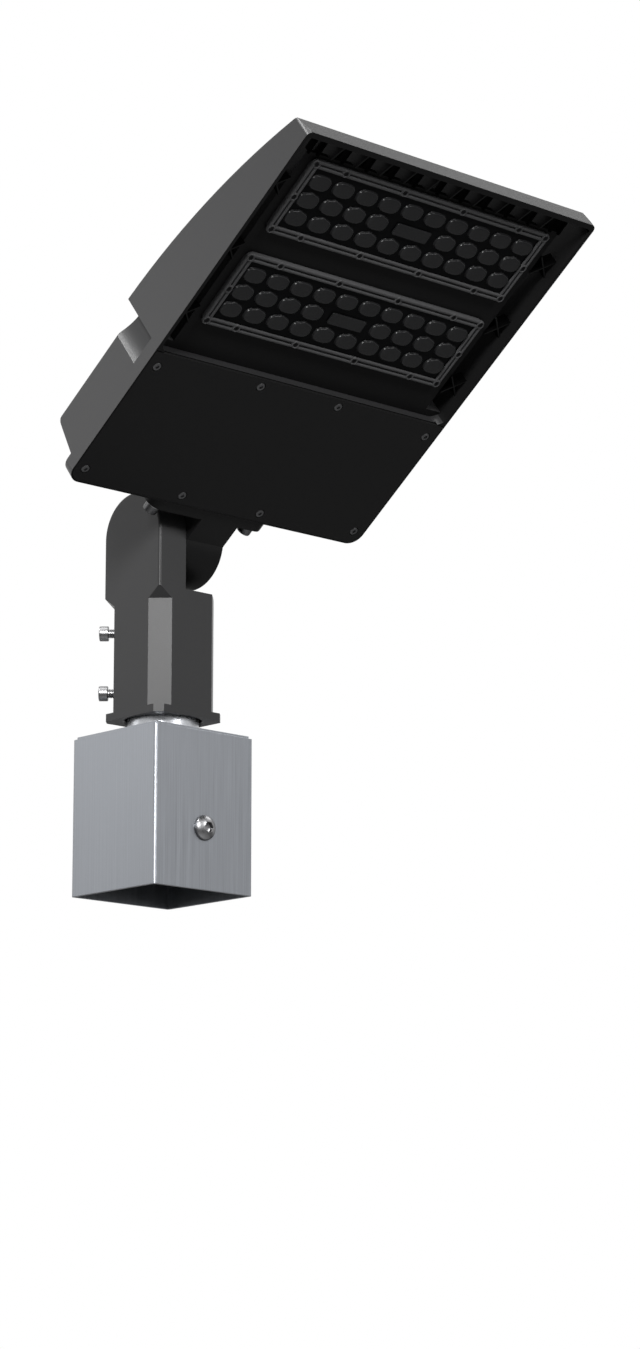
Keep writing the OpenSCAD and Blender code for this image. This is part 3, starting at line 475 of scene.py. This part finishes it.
def noise_node(nodes, links, vector, scale, detail=2.0, rough=0.5):
    """A Noise Texture read at a vector."""
    node = nodes.new("ShaderNodeTexNoise")
    node.inputs["Scale"].default_value = scale
    node.inputs["Detail"].default_value = detail
    node.inputs["Roughness"].default_value = rough
    links.new(vector, node.inputs["Vector"])
    return node.outputs["Fac"]


def tint(nodes, links, color, shift):
    """A colour made lighter or darker by a share."""
    node = nodes.new("ShaderNodeVectorMath")
    node.operation = "SCALE"
    links.new(color, node.inputs[0])
    links.new(math_node(nodes, links, "ADD", shift, 1.0), node.inputs["Scale"])
    return node.outputs[0]


def powder_group():
    """Powder coat: a fine orange peel, a finer grain in the gloss, slow shifts in the colour."""
    group, given, made, nodes, links = group_nodes(
        "Powder coat",
        [
            ("Color", "NodeSocketColor", (0.1, 0.1, 0.1, 1)),
            ("Roughness", "NodeSocketFloat", 0.5),
            ("Shift", "NodeSocketFloat", 0.06),
        ],
    )
    where = nodes.new("ShaderNodeTexCoord").outputs["Object"]
    speck_depth, gloss_shift = 0.35, 0.5
    slow = noise_node(nodes, links, where, scale=9, detail=3)
    peel = noise_node(nodes, links, where, scale=900)
    grain = noise_node(nodes, links, where, scale=3200, detail=1)
    drift = math_node(nodes, links, "SUBTRACT", slow, 0.5)
    drift = math_node(nodes, links, "MULTIPLY", drift, given.outputs["Shift"])
    speck = math_node(nodes, links, "SUBTRACT", grain, 0.5)
    speck = math_node(nodes, links, "MULTIPLY", speck, speck_depth)
    both = math_node(nodes, links, "ADD", drift, speck)
    gloss = math_node(nodes, links, "MULTIPLY", both, gloss_shift)
    rough = math_node(nodes, links, "ADD", gloss, given.outputs["Roughness"], True)
    links.new(tint(nodes, links, given.outputs["Color"], both), made.inputs["Color"])
    links.new(rough, made.inputs["Roughness"])
    links.new(peel, made.inputs["Height"])
    return group


def brushed_group():
    """Brushed metal: long fine streaks one way, in the colour, the gloss and the height."""
    group, given, made, nodes, links = group_nodes(
        "Brushed grain",
        [
            ("Color", "NodeSocketColor", (0.5, 0.5, 0.5, 1)),
            ("Roughness", "NodeSocketFloat", 0.4),
            ("Stretch", "NodeSocketVector", (1, 1, 0.01)),
            ("Streak", "NodeSocketFloat", 0.25),
        ],
    )
    where = nodes.new("ShaderNodeTexCoord").outputs["Object"]
    stretched = nodes.new("ShaderNodeVectorMath")
    stretched.operation = "MULTIPLY"
    links.new(where, stretched.inputs[0])
    links.new(given.outputs["Stretch"], stretched.inputs[1])
    cloud_depth, gloss_shift = 0.12, 0.25
    fine = noise_node(nodes, links, stretched.outputs[0], scale=3600, detail=2, rough=0.6)
    broad = noise_node(nodes, links, stretched.outputs[0], scale=800, detail=3, rough=0.6)
    slow = noise_node(nodes, links, where, scale=7)
    both = math_node(nodes, links, "ADD", fine, broad)
    both = math_node(nodes, links, "SUBTRACT", both, 1.0)
    streak = math_node(nodes, links, "MULTIPLY", both, given.outputs["Streak"])
    cloud = math_node(nodes, links, "SUBTRACT", slow, 0.5)
    cloud = math_node(nodes, links, "MULTIPLY", cloud, cloud_depth)
    shift = math_node(nodes, links, "ADD", streak, cloud)
    gloss = math_node(nodes, links, "MULTIPLY", both, gloss_shift)
    rough = math_node(nodes, links, "ADD", gloss, given.outputs["Roughness"], True)
    links.new(tint(nodes, links, given.outputs["Color"], shift), made.inputs["Color"])
    links.new(rough, made.inputs["Roughness"])
    links.new(fine, made.inputs["Height"])
    return group


def mould_group():
    """Moulded plastic or rubber: faint flow marks and a matt grain."""
    group, given, made, nodes, links = group_nodes(
        "Moulded skin",
        [
            ("Color", "NodeSocketColor", (0.1, 0.1, 0.1, 1)),
            ("Roughness", "NodeSocketFloat", 0.5),
            ("Grain", "NodeSocketFloat", 0.2),
        ],
    )
    where = nodes.new("ShaderNodeTexCoord").outputs["Object"]
    gloss_shift = 0.4
    flow = noise_node(nodes, links, where, scale=60, detail=3)
    grain = noise_node(nodes, links, where, scale=2400)
    both = math_node(nodes, links, "ADD", flow, grain)
    both = math_node(nodes, links, "SUBTRACT", both, 1.0)
    shift = math_node(nodes, links, "MULTIPLY", both, given.outputs["Grain"])
    gloss = math_node(nodes, links, "MULTIPLY", shift, gloss_shift)
    rough = math_node(nodes, links, "ADD", gloss, given.outputs["Roughness"], True)
    links.new(tint(nodes, links, given.outputs["Color"], shift), made.inputs["Color"])
    links.new(rough, made.inputs["Roughness"])
    links.new(grain, made.inputs["Height"])
    return group


def finish_material(name, group, values, bump, metallic=0.0, specular=0.5):
    """A Principled material fed by one of the groups. bump is the relief's depth in metres."""
    material = bpy.data.materials.new(name)
    material.use_nodes = True
    nodes, links = material.node_tree.nodes, material.node_tree.links
    shader = nodes["Principled BSDF"]
    shader.inputs["Metallic"].default_value = metallic
    shader.inputs["Specular IOR Level"].default_value = specular
    effect = nodes.new("ShaderNodeGroup")
    effect.node_tree = group
    for socket, value in values.items():
        effect.inputs[socket].default_value = value
    links.new(effect.outputs["Color"], shader.inputs["Base Color"])
    links.new(effect.outputs["Roughness"], shader.inputs["Roughness"])
    relief = nodes.new("ShaderNodeBump")
    relief.inputs["Distance"].default_value = bump
    relief.inputs["Strength"].default_value = 1.0
    links.new(effect.outputs["Height"], relief.inputs["Height"])
    links.new(relief.outputs["Normal"], shader.inputs["Normal"])
    return material


FINISH = {}


def make_finishes(look):
    """Builds every finish of the light, once."""
    if FINISH:
        return
    powder, brushed, mould = powder_group(), brushed_group(), mould_group()

    def coat(name, color, rough, specular):
        """A powder coat."""
        values = {"Color": (*color, 1), "Roughness": rough, "Shift": 0.08}
        FINISH[name] = finish_material(name, powder, values, bump=40e-6, specular=specular)

    def metal(name, color, rough, streak, stretch=(1, 1, 1), bump=5e-6):
        """A bare metal. stretch squeezes its grain into streaks one way."""
        values = {"Color": (*color, 1), "Roughness": rough, "Stretch": stretch, "Streak": streak}
        FINISH[name] = finish_material(name, brushed, values, bump, metallic=1.0)

    def plastic(name, color, rough, grain, specular=0.5, bump=20e-6):
        """A plastic or a rubber."""
        values = {"Color": (*color, 1), "Roughness": rough, "Grain": grain}
        FINISH[name] = finish_material(name, mould, values, bump, specular=specular)

    # The slot colour is a fifth of the bay's: painted shade deep in the air slots.
    slot_painted_shade_color = [0.2 * c for c in look.bay_painted_shade_color]
    coat("Housing powder coat", look.housing_color, rough=0.36, specular=0.3)
    # The bay coat is the housing's own paint made darker and duller: painted shade in the light bay and on faces
    # turned to the lens side.
    coat("Bay powder coat", look.bay_painted_shade_color, rough=0.42, specular=0.022)
    # Slot coat: painted shade in the air slots, with no gloss.
    coat("Slot powder coat", slot_painted_shade_color, rough=0.6, specular=0.0)
    coat("Knuckle powder coat", look.knuckle_color, rough=0.36, specular=0.135)
    # The arm is the knuckle's casting paint made darker: painted shade under the head.
    coat("Arm powder coat", look.arm_painted_shade_color, rough=0.4, specular=0.07)
    # The cover is the housing's paint made darker: painted shade on the downward lens side.
    coat("Cover powder coat", look.cover_color, rough=0.5, specular=0.06)

    upright = (1, 1, 0.005)
    turned = (0.3, 0.3, 1)
    across = (0.05, 1, 1)
    metal("Brushed aluminium", look.adapter_color, 0.38, 0.42, upright, bump=3e-6)
    metal("Turned aluminium", (0.42, 0.43, 0.45), 0.3, 0.12, turned, bump=10e-6)
    metal("Driver case", (0.5, 0.5, 0.52), 0.45, 0.15, across, bump=10e-6)
    metal("Bright zinc", (0.17, 0.17, 0.173), rough=0.3, streak=0.05, bump=3e-6)
    metal("Dark chrome", (0.2, 0.2, 0.205), rough=0.32, streak=0.06, bump=3e-6)
    metal("Dull stainless", (0.2, 0.2, 0.205), rough=0.3, streak=0.1)
    metal("Dark screws", (0.07, 0.07, 0.072), rough=0.3, streak=0.1)
    metal("Black oxide", (0.012, 0.012, 0.0125), rough=0.35, streak=0.1)

    plastic("Lens plate", (0.002, 0.0021, 0.0023), 0.3, 0.1, specular=0.02, bump=2e-6)
    plastic("Lens dome", (0.0085, 0.0086, 0.009), 0.26, 0.06, specular=0.1, bump=1e-6)
    plastic("Module frame", (0.04, 0.04, 0.041), rough=0.3, grain=0.12, specular=0.06)
    plastic("Black rubber", (0.012, 0.012, 0.012), rough=0.75, grain=0.25, specular=0.25)
    plastic("Solder mask", (0.01, 0.01, 0.01), rough=0.4, grain=0.1, specular=0.4)
    plastic("Phosphor", (0.72, 0.55, 0.1), rough=0.5, grain=0.1)
    plastic("White plastic", (0.75, 0.75, 0.73), rough=0.45, grain=0.08)
    plastic("Lead insulation", (0.3, 0.02, 0.02), rough=0.5, grain=0.1)


# Sizes and colours that a user would change


def color_property(name, description, color):
    """A colour of a finish."""
    return FloatVectorProperty(
        name=name, description=description, subtype="COLOR", default=color, min=0, max=1
    )


def lamp_property(name, power):
    """The strength of one lamp, in watts."""
    return FloatProperty(
        name=name, description=f"Strength of the {name.lower()} lamp", default=power, min=0,
        unit="POWER",
    )


class AREALIGHT_PG_look(PropertyGroup):
    housing_color: color_property(
        "Housing", "Colour of the housing's powder coat", (0.015, 0.015, 0.0155)
    )
    # The light bay is the housing's paint; its darker colour is painted shade.
    bay_painted_shade_color: color_property(
        "Light bay", "Colour of the light bay's powder coat, darkened as painted shade", (0.0065, 0.0065, 0.0066)
    )
    # The cover has the housing's paint; its darker colour is painted shade.
    cover_color: color_property(
        "Cover", "Colour of the driver cover, darkened as painted shade", (0.006, 0.006, 0.0061)
    )
    knuckle_color: color_property(
        "Knuckle", "Colour of the slip fitter's powder coat", (0.021, 0.021, 0.0215)
    )
    # The arm has the knuckle's paint; its darker colour is painted shade under the head.
    arm_painted_shade_color: color_property(
        "Arm", "Colour of the knuckle arm's powder coat, darkened as painted shade", (0.0055, 0.0055, 0.0056)
    )
    adapter_color: color_property(
        "Adapter", "Colour of the brushed adapter", (0.213, 0.223, 0.24)
    )
    casting_edge: FloatProperty(
        name="Casting edge", description="Rounding along the castings' edges, in mm",
        default=0.7, min=0.1, max=2,
    )


class AREALIGHT_PG_module(PropertyGroup):
    first_y: FloatProperty(
        name="First module", description="From the rear edge to its middle, in mm",
        default=MODULE_Y[0],
    )
    pitch: FloatProperty(
        name="Pitch", description="From module to module, in mm",
        default=MODULE_Y[1] - MODULE_Y[0],
    )
    columns: IntProperty(
        name="Columns", description="Lenses across a module", default=10, min=2
    )
    rows: IntProperty(
        name="Rows", description="Lenses along a module", default=3, min=1
    )


class AREALIGHT_PG_studio(PropertyGroup):
    lens: FloatProperty(
        name="Lens", description="Focal length on a 36 mm sensor", default=95.43, min=10,
        unit="CAMERA",
    )
    overhead: lamp_property("Overhead", 60)
    high: lamp_property("High", 60)
    right: lamp_property("Right", 50)
    front: lamp_property("Front", 60)
    side: lamp_property("Side", 6.5)
    edge: lamp_property("Edge", 140)
    ambient: FloatProperty(
        name="Ambient", description="Strength of the soft light from all round",
        default=0.16, min=0,
    )


# Operators


class AREALIGHT_OT_adapter(Operator):
    """Brushed square sleeve, its cap plate and tenon, and the two screws"""

    bl_idname = "arealight.adapter"
    bl_label = "Pole adapter"

    def execute(self, context):
        make_finishes(context.scene.area_light_look)
        body = "pole_adapter"
        brushed = [FINISH["Brushed aluminium"]]
        softened("pole_sleeve", body, brushed, "brushed_aluminium", width=0.35)
        softened("cap_plate", body, brushed, "brushed_aluminium", width=0.3)
        paint_node("tenon", FINISH["Turned aluminium"])
        bm = bmesh.new()
        shank = [(-16, 5.2), (-15.2, 6), (0.1, 6)]
        dome = [
            (0.11, 10.2), (0.4, 10.6), (1.2, 10.7), (2.4, 10.25), (3.7, 9.1), (4.8, 7.6),
            (5.7, 6.0), (6.15, 5.0),
        ]
        socket = [(6.3, 4.3, True), (6.0, 4.0, True), (2.7, 3.95, True), (2.2, 3.0)]
        loft(bm, shank + dome + socket, 48)
        seat_y = row_box("pole_sleeve")[1].y
        low, high = row_box("pole_screws")
        places = [
            row_place(0, side * seat_y, (low.z + high.z) / 2) @ facing((0, side, 0))
            for side in (-1, 1)
        ]
        piece = finished(
            "pole_screws_turned", bm, body, FINISH["Dark chrome"], "dull_steel", places
        )
        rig.replaces(piece, "pole_screws")
        return {"FINISHED"}


class AREALIGHT_OT_fitter(Operator):
    """Slip fitter casting, tilt bolt, washer and seal"""

    bl_idname = "arealight.fitter"
    bl_label = "Slip fitter"

    def execute(self, context):
        look = context.scene.area_light_look
        make_finishes(look)
        body = "fitter"
        coat = [FINISH["Knuckle powder coat"]]
        softened("slip_fitter", body, coat, "painted_fitter", look.casting_edge)
        bm = bmesh.new()
        shank = [(-62.3, 5.3), (-61.6, 6), (0.3, 6), (0.31, 8.7)]
        head = [(0.6, 9, True), (6.6, 9, True), (7.5, 8.2), (7.5, 4)]
        loft(bm, shank + head, 48)
        place = row_place(row_box("tilt_washer")[1].x, *PIVOT.yz / MM) @ facing((1, 0, 0))
        piece = finished(
            "tilt_bolt_turned", bm, body, FINISH["Bright zinc"], "bright_steel", [place]
        )
        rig.replaces(piece, "tilt_bolt")
        paint_node("tilt_washer", FINISH["Dull stainless"])
        paint_node("tilt_seal", FINISH["Black rubber"])
        return {"FINISHED"}


class AREALIGHT_OT_set_screws(Operator):
    """Two set screws with round heads, sockets and threads"""

    bl_idname = "arealight.set_screws"
    bl_label = "Set screws"

    def execute(self, context):
        make_finishes(context.scene.area_light_look)
        shank = [(-16.5, 2.6), (-15.6, 3.4), (0.1, 3.4)]
        head = [
            (0.11, 6.0), (0.5, 6.4), (6.5, 6.4), (6.6, 6.3), (6.9, 6.3), (7.0, 6.4), (7.5, 6.3),
            (7.9, 5.7), (8, 5.3),
        ]
        socket = [(8, 3.2, True), (4, 3.15, True), (3.6, 1.5)]
        for which in ("upper", "lower"):
            node = f"set_screw_{which}"
            bm = bmesh.new()
            loft(bm, shank + head + socket, 60)
            thread(bm, -15.8, 0, crest=3.98, pitch=1.25, depth=0.62)
            z = row_box(node)[0].z + SET_SCREW_R
            place = row_place(-SET_SCREW_SEAT, SET_SCREW_SEAT, z) @ facing((-1, 1, 0))
            piece = finished(
                f"{node}_threaded", bm, f"{which}_screw", FINISH["Bright zinc"],
                "bright_steel", [place], smooth=28,
            )
            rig.replaces(piece, node)
        return {"FINISHED"}


class AREALIGHT_OT_arm(Operator):
    """Knuckle arm, its bolts, washers and gasket, and the lead's grommet"""

    bl_idname = "arealight.arm"
    bl_label = "Knuckle arm"

    def execute(self, context):
        look = context.scene.area_light_look
        make_finishes(look)
        body = "head"
        # The arm's coat is darkened: painted shade under the head.
        coat = [FINISH["Arm powder coat"]]
        softened("knuckle_arm", body, coat, "painted_fitter", look.casting_edge)
        bm = bmesh.new()
        knurl = 0.12
        shank = [(-28.3, 3.3), (-27.4, 3.95), (0.1, 3.95)]
        head = [
            (0.11, 6), (0.4, 6.4, False, knurl), (7.2, 6.4, False, knurl), (7.7, 6.2), (8, 5.6),
        ]
        socket = [(8, 3.3, True), (4.2, 3.2, True), (3.8, 1.6)]
        loft(bm, shank + head + socket, 60)
        low, high = head_box("arm_washers")
        places = [
            head_place(x, low.y, z) @ facing((0, -1, 0))
            for x in (low.x + ARM_WASHER_R, high.x - ARM_WASHER_R)
            for z in (low.z + ARM_WASHER_R, high.z - ARM_WASHER_R)
        ]
        piece = finished(
            "arm_bolts_turned", bm, body, FINISH["Dark screws"], "bright_steel", places
        )
        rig.replaces(piece, "arm_bolts")
        paint_node("arm_washers", FINISH["Dull stainless"])
        paint_node("arm_gasket", FINISH["Black rubber"])
        paint_node("lead_grommet", FINISH["Black rubber"])
        return {"FINISHED"}


class AREALIGHT_OT_housing(Operator):
    """Housing casting, driver cover, its gasket and screws"""

    bl_idname = "arealight.housing"
    bl_label = "Housing"

    def execute(self, context):
        look = context.scene.area_light_look
        make_finishes(look)
        body = "head"
        # Coats 1 and 2, the bay's and the slots', are the housing's paint darkened: painted shade.
        coats = [FINISH[f"{name} powder coat"] for name in ("Housing", "Bay", "Slot")]
        softened(
            "housing", body, coats, "painted_housing", look.casting_edge,
            material_of=self.painted_shade_coat_of,
        )
        self.tip_webs(body)
        # The cover's coat is darkened: painted shade on the lens side.
        softened("driver_cover", body, [FINISH["Cover powder coat"]], "painted_cover", 0.3)
        paint_node("cover_gasket", FINISH["Black rubber"])
        bm = bmesh.new()
        shank = [(-8.8, 1.5), (-8.2, 1.95), (0.05, 1.95)]
        head = [(0.06, 3.6), (0.3, 3.95), (1.0, 3.95), (1.5, 3.5), (1.6, 3.0)]
        socket = [(1.6, 1.6, True), (0.55, 1.5, True), (0.4, 0.6)]
        loft(bm, shank + head + socket, 36)
        places = [
            head_place(side * x, y, COVER_SEAT_Z) @ facing((0, 0, -1))
            for side in (-1, 1) for x, y in COVER_SCREWS
        ]
        piece = finished(
            "cover_screws_turned", bm, body, FINISH["Dark screws"], "dull_steel", places
        )
        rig.replaces(piece, "cover_screws")
        return {"FINISHED"}

    @staticmethod
    def painted_shade_coat_of(face):
        """A face's coat: 0 outside, the plain paint; 1 in the light bay and round its edges, on the tip wall and on
        faces turned to the lens side, painted shade; 2 in the slots, darker painted shade.
        """
        x, y, z = TO_HEAD @ face.calc_center_median() / MM
        x = abs(x)
        out = (TO_HEAD.to_3x3() @ face.normal).normalized()
        rear_wall = out.y > 0.5 and y < REAR_WALL_Y
        if x < WALL_X and BAY_Y[0] < y < BAY_Y[1] and z > RIM_Z and not rear_wall and out.z < 0.5:
            in_slot = SLOT_X[0] < x < SLOT_X[1] or y > TIP_SLOT_Y
            return 2 if in_slot and out.z > -0.5 else 1
        # The tip wall and faces turned to the lens side take the bay's painted shade as well.
        tip_wall = x < WALL_X and y > BAY_Y[1]
        return 1 if tip_wall or out.z < -0.8 else 0

    @staticmethod
    def tip_webs(body):
        """Short webs that close the view through the tip's air slot, as fins there would; their near-black coat is
        painted shade.
        """
        bm = bmesh.new()
        for k in (*range(-10, 11, 2), -EDGE_FIN, EDGE_FIN):
            web = bmesh.ops.create_cube(bm, size=1)["verts"]
            bmesh.ops.scale(bm, vec=WEB_SIZE, verts=web)
            bmesh.ops.translate(bm, vec=(k * FIN_STEP, WEB_Y, WEB_Z), verts=web)
        # The slot coat is near black: painted shade.
        coat = FINISH["Slot powder coat"]
        finished("tip_webs", bm, body, coat, "painted_housing", [head_place(0, 0, 0)])


class AREALIGHT_OT_modules(Operator):
    """Light modules: lens plates and domes, frames, screws, boards and connector covers"""

    bl_idname = "arealight.modules"
    bl_label = "Light modules"

    def execute(self, context):
        make_finishes(context.scene.area_light_look)
        module = context.scene.area_light_module
        body = "head"
        for i in (1, 2):
            y = module.first_y + (i - 1) * module.pitch
            self.module_frame(i, y, body)
            self.lens_plate(i, y, body)
            self.lens_domes(module, i, y, body)
            paint_node(f"lens_gasket_{i}", FINISH["Black rubber"])
            paint_node(f"led_board_{i}", FINISH["Solder mask"])
            paint_node(f"led_chips_{i}", FINISH["Phosphor"])
            cover = [FINISH["Lens dome"]]
            softened(f"connector_cover_{i}", body, cover, "black_plastic", width=0.4)
            self.module_screws(i, y, body)
        return {"FINISHED"}

    def screw_spots(self):
        """Screws of a module, from its middle: six on each long side, one on each short side."""
        x, y = (FRAME_W - BAND_W) / 2, (FRAME_L - BAND_W) / 2
        spots = [(share * x, side * y) for share in SCREW_SHARES for side in (-1, 1)]
        return spots + [(-x, 0), (x, 0)]

    def module_frame(self, i, y, body):
        """A frame with an outer and an inner lip, a groove between and a boss at each screw."""
        bm = bmesh.new()
        low, groove, hair = -0.2, 2.2, 0.1
        lip = [
            (0, 3.3), (0.3, 4.0), (0.85, 4.4), (1.5, BAND_H), (2.15, 4.4), (2.7, 4.0),
            (LIP_W, 3.3),
        ]
        inner = BAND_W - LIP_W
        profile = [
            (0, low), *lip, (LIP_W + hair, groove), (inner - hair, groove),
            *((inner + inset, z) for inset, z in lip), (BAND_W, low),
        ]
        swept_frame(bm, FRAME_W, FRAME_L, FRAME_R, profile)
        boss = [(1.9, 3.8), (3.9, 3.8), (4.5, 3.5), (4.75, 3.0), (4.5, 2.6), (4.0, 2.4)]
        for u, v in self.screw_spots():
            fresh = loft(bm, boss)
            bmesh.ops.translate(bm, verts=fresh, vec=(u, v, 0))
        piece = finished(
            f"module_frame_{i}_lipped", bm, body, FINISH["Module frame"], "black_plastic",
            [head_place(0, y, BAY_FLOOR) @ BACK_TO_FRONT], smooth=50,
        )
        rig.replaces(piece, f"module_frame_{i}")

    def module_screws(self, i, y, body):
        """Small socket screws in the frame's bosses."""
        bm = bmesh.new()
        shank = [(-7.5, 1.1), (-7.1, 1.45), (0.02, 1.45)]
        head = [(0.03, 2.2), (0.2, 2.4), (0.6, 2.3), (0.8, 2.0), (0.85, 1.7)]
        socket = [(0.85, 1.45, True), (-0.2, 1.4, True), (-0.3, 0.4)]
        loft(bm, shank + head + socket)
        seat_z = BAY_FLOOR - BAND_H + SCREW_SINK
        places = [
            head_place(u, y + v, seat_z) @ facing((0, 0, -1)) for u, v in self.screw_spots()
        ]
        piece = finished(
            f"module_screws_{i}_turned", bm, body, FINISH["Black oxide"], "dull_steel", places
        )
        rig.replaces(piece, f"module_screws_{i}")

    def lens_plate(self, i, y, body):
        """The moulded sheet of one module."""
        bm = bmesh.new()
        bmesh.ops.create_grid(bm, x_segments=2, y_segments=2, size=0.5)
        bmesh.ops.scale(bm, vec=(PANEL_W, PANEL_L, 1), verts=bm.verts)
        sheet = bmesh.ops.extrude_face_region(bm, geom=bm.faces)["geom"]
        inner = [v for v in sheet if isinstance(v, bmesh.types.BMVert)]
        bmesh.ops.translate(bm, vec=(0, 0, -PLATE_T), verts=inner)
        piece = finished(
            f"lens_plate_{i}", bm, body, FINISH["Lens plate"], "smoky_lens",
            [head_place(0, y, PLATE_Z) @ facing((0, 0, -1))],
        )
        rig.replaces(piece, f"lens_panel_{i}")

    def lens_domes(self, module, i, y, body):
        """A dome for every lens but the middle two. All rows but the last have peaked ones."""
        mid_column, mid_row = (module.columns - 1) / 2, (module.rows - 1) / 2
        places = {"plain": [], "peaked": []}
        for row in range(module.rows):
            kind = "peaked" if row < module.rows - 1 else "plain"
            for column in range(module.columns):
                u, v = column - mid_column, row - mid_row
                if abs(u) < 1 and abs(v) < 0.5:
                    continue
                place = head_place(u * LENS_STEP[0], y + v * LENS_STEP[1], PLATE_Z)
                places[kind].append(place @ BACK_TO_FRONT)
        for kind, peak in (("plain", 0.0), ("peaked", LENS_PEAK)):
            bm = bmesh.new()
            lens_dome(bm, peak)
            finished(
                f"lens_domes_{i}_{kind}", bm, body, FINISH["Lens dome"], "smoky_lens",
                places[kind], smooth=50,
            )


class AREALIGHT_OT_inside(Operator):
    """Driver, surge protector, terminal block and leads in the driver box"""

    bl_idname = "arealight.inside"
    bl_label = "Driver box"

    def execute(self, context):
        make_finishes(context.scene.area_light_look)
        paint_node("led_driver", FINISH["Driver case"])
        paint_node("driver_screws", FINISH["Dull stainless"])
        paint_node("surge_protector", FINISH["White plastic"])
        paint_node("terminal_block", FINISH["White plastic"])
        paint_node("module_leads", FINISH["Lead insulation"])
        return {"FINISHED"}


class AREALIGHT_OT_studio(Operator):
    """Floor, lamps, soft surrounding light and the camera of the photograph"""

    bl_idname = "arealight.studio"
    bl_label = "Studio"

    def execute(self, context):
        scene = context.scene
        studio = scene.area_light_studio
        self.floor(scene)
        self.surroundings(scene, studio.ambient)
        for name, (place, size) in LAMPS.items():
            self.lamp(scene, name, place, size, getattr(studio, name.lower()))
        camera = bpy.data.cameras.new("Camera")
        camera.lens = studio.lens
        camera.sensor_width = 36
        camera.sensor_fit = "AUTO"
        camera.clip_end = 100
        holder = bpy.data.objects.new("Camera", camera)
        holder.location = CAMERA_PLACE
        holder.rotation_euler = [math.radians(angle) for angle in CAMERA_TURN]
        scene.collection.objects.link(holder)
        scene.camera = holder
        scene.view_settings.view_transform = "Standard"
        return {"FINISHED"}

    def floor(self, scene):
        """A plain floor, clear from below."""
        bm = bmesh.new()
        bmesh.ops.create_grid(bm, x_segments=8, y_segments=8, size=FLOOR_SIZE)
        bmesh.ops.translate(bm, verts=bm.verts, vec=(0, 0, FLOOR_Z))
        mesh = bpy.data.meshes.new("studio_floor")
        bm.to_mesh(mesh)
        bm.free()
        mesh.materials.append(self.floor_material())
        floor = bpy.data.objects.new("studio_floor", mesh)
        scene.collection.objects.link(floor)
        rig.stage(floor)

    def floor_material(self):
        """Pale floor, a little paler to the camera."""
        material = bpy.data.materials.new("Studio floor")
        material.use_nodes = True
        nodes, links = material.node_tree.nodes, material.node_tree.links
        shader = nodes["Principled BSDF"]
        shader.inputs["Base Color"].default_value = FLOOR_COLOR
        shader.inputs["Roughness"].default_value = 0.9
        shader.inputs["Emission Color"].default_value = (1, 1, 1, 1)
        rays = nodes.new("ShaderNodeLightPath")
        lift = math_node(nodes, links, "MULTIPLY", rays.outputs["Is Camera Ray"], FLOOR_GLOW)
        links.new(lift, shader.inputs["Emission Strength"])
        clear = nodes.new("ShaderNodeBsdfTransparent")
        mix = nodes.new("ShaderNodeMixShader")
        back = nodes.new("ShaderNodeNewGeometry")
        links.new(back.outputs["Backfacing"], mix.inputs["Fac"])
        links.new(shader.outputs["BSDF"], mix.inputs[1])
        links.new(clear.outputs["BSDF"], mix.inputs[2])
        links.new(mix.outputs["Shader"], nodes["Material Output"].inputs["Surface"])
        return material

    def surroundings(self, scene, strength):
        """White to the camera and in reflections, and a soft light of the given strength."""
        world = bpy.data.worlds.new("Studio")
        scene.world = world
        world.use_nodes = True
        nodes, links = world.node_tree.nodes, world.node_tree.links
        sky = nodes["Background"]
        sky.inputs["Color"].default_value = (1, 1, 1, 1)
        rays = nodes.new("ShaderNodeLightPath").outputs
        seen = math_node(nodes, links, "MAXIMUM", rays["Is Camera Ray"], rays["Is Glossy Ray"])
        seen = math_node(nodes, links, "MAXIMUM", seen, rays["Is Transmission Ray"])
        gain = math_node(nodes, links, "MULTIPLY", seen, 1 - strength)
        links.new(math_node(nodes, links, "ADD", gain, strength), sky.inputs["Strength"])

    def lamp(self, scene, name, place, size, power):
        """A round soft lamp that faces the light."""
        data = bpy.data.lights.new(name, "AREA")
        data.shape = "DISK"
        data.size = size
        data.energy = power
        lamp = bpy.data.objects.new(name, data)
        lamp.location = place
        aim = Vector(place) - Vector(LAMP_AIM)
        lamp.rotation_euler = aim.to_track_quat("Z", "Y").to_euler()
        scene.collection.objects.link(lamp)


class AREALIGHT_PT_panel(Panel):
    bl_idname = "AREALIGHT_PT_panel"
    bl_label = "Area light"
    bl_space_type = "VIEW_3D"
    bl_region_type = "UI"
    bl_category = "Area light"

    def draw(self, context):
        layout = self.layout
        for group in ("area_light_look", "area_light_module", "area_light_studio"):
            box = layout.box()
            values = getattr(context.scene, group)
            for key in values.__annotations__:
                box.prop(values, key)
        for operator in OPERATORS:
            layout.operator(operator.bl_idname)


OPERATORS = (
    AREALIGHT_OT_adapter,
    AREALIGHT_OT_fitter,
    AREALIGHT_OT_set_screws,
    AREALIGHT_OT_arm,
    AREALIGHT_OT_housing,
    AREALIGHT_OT_modules,
    AREALIGHT_OT_inside,
    AREALIGHT_OT_studio,
)
GROUPS = (AREALIGHT_PG_look, AREALIGHT_PG_module, AREALIGHT_PG_studio)
CLASSES = GROUPS + OPERATORS + (AREALIGHT_PT_panel,)


def register():
    for cls in CLASSES:
        bpy.utils.register_class(cls)
    bpy.types.Scene.area_light_look = PointerProperty(type=AREALIGHT_PG_look)
    bpy.types.Scene.area_light_module = PointerProperty(type=AREALIGHT_PG_module)
    bpy.types.Scene.area_light_studio = PointerProperty(type=AREALIGHT_PG_studio)


def unregister():
    del bpy.types.Scene.area_light_studio
    del bpy.types.Scene.area_light_module
    del bpy.types.Scene.area_light_look
    for cls in reversed(CLASSES):
        bpy.utils.unregister_class(cls)


def main():
    register()
    bpy.ops.arealight.adapter()
    bpy.ops.arealight.fitter()
    bpy.ops.arealight.set_screws()
    bpy.ops.arealight.arm()
    bpy.ops.arealight.housing()
    bpy.ops.arealight.modules()
    bpy.ops.arealight.inside()
    bpy.ops.arealight.studio()
    boxes = {"cad": [list(v) for v in FIRST_BOX], "visual": [list(v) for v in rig.bounds()]}
    with open("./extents.json", "w") as out:
        json.dump(boxes, out)


if __name__ == "__main__":
    main()
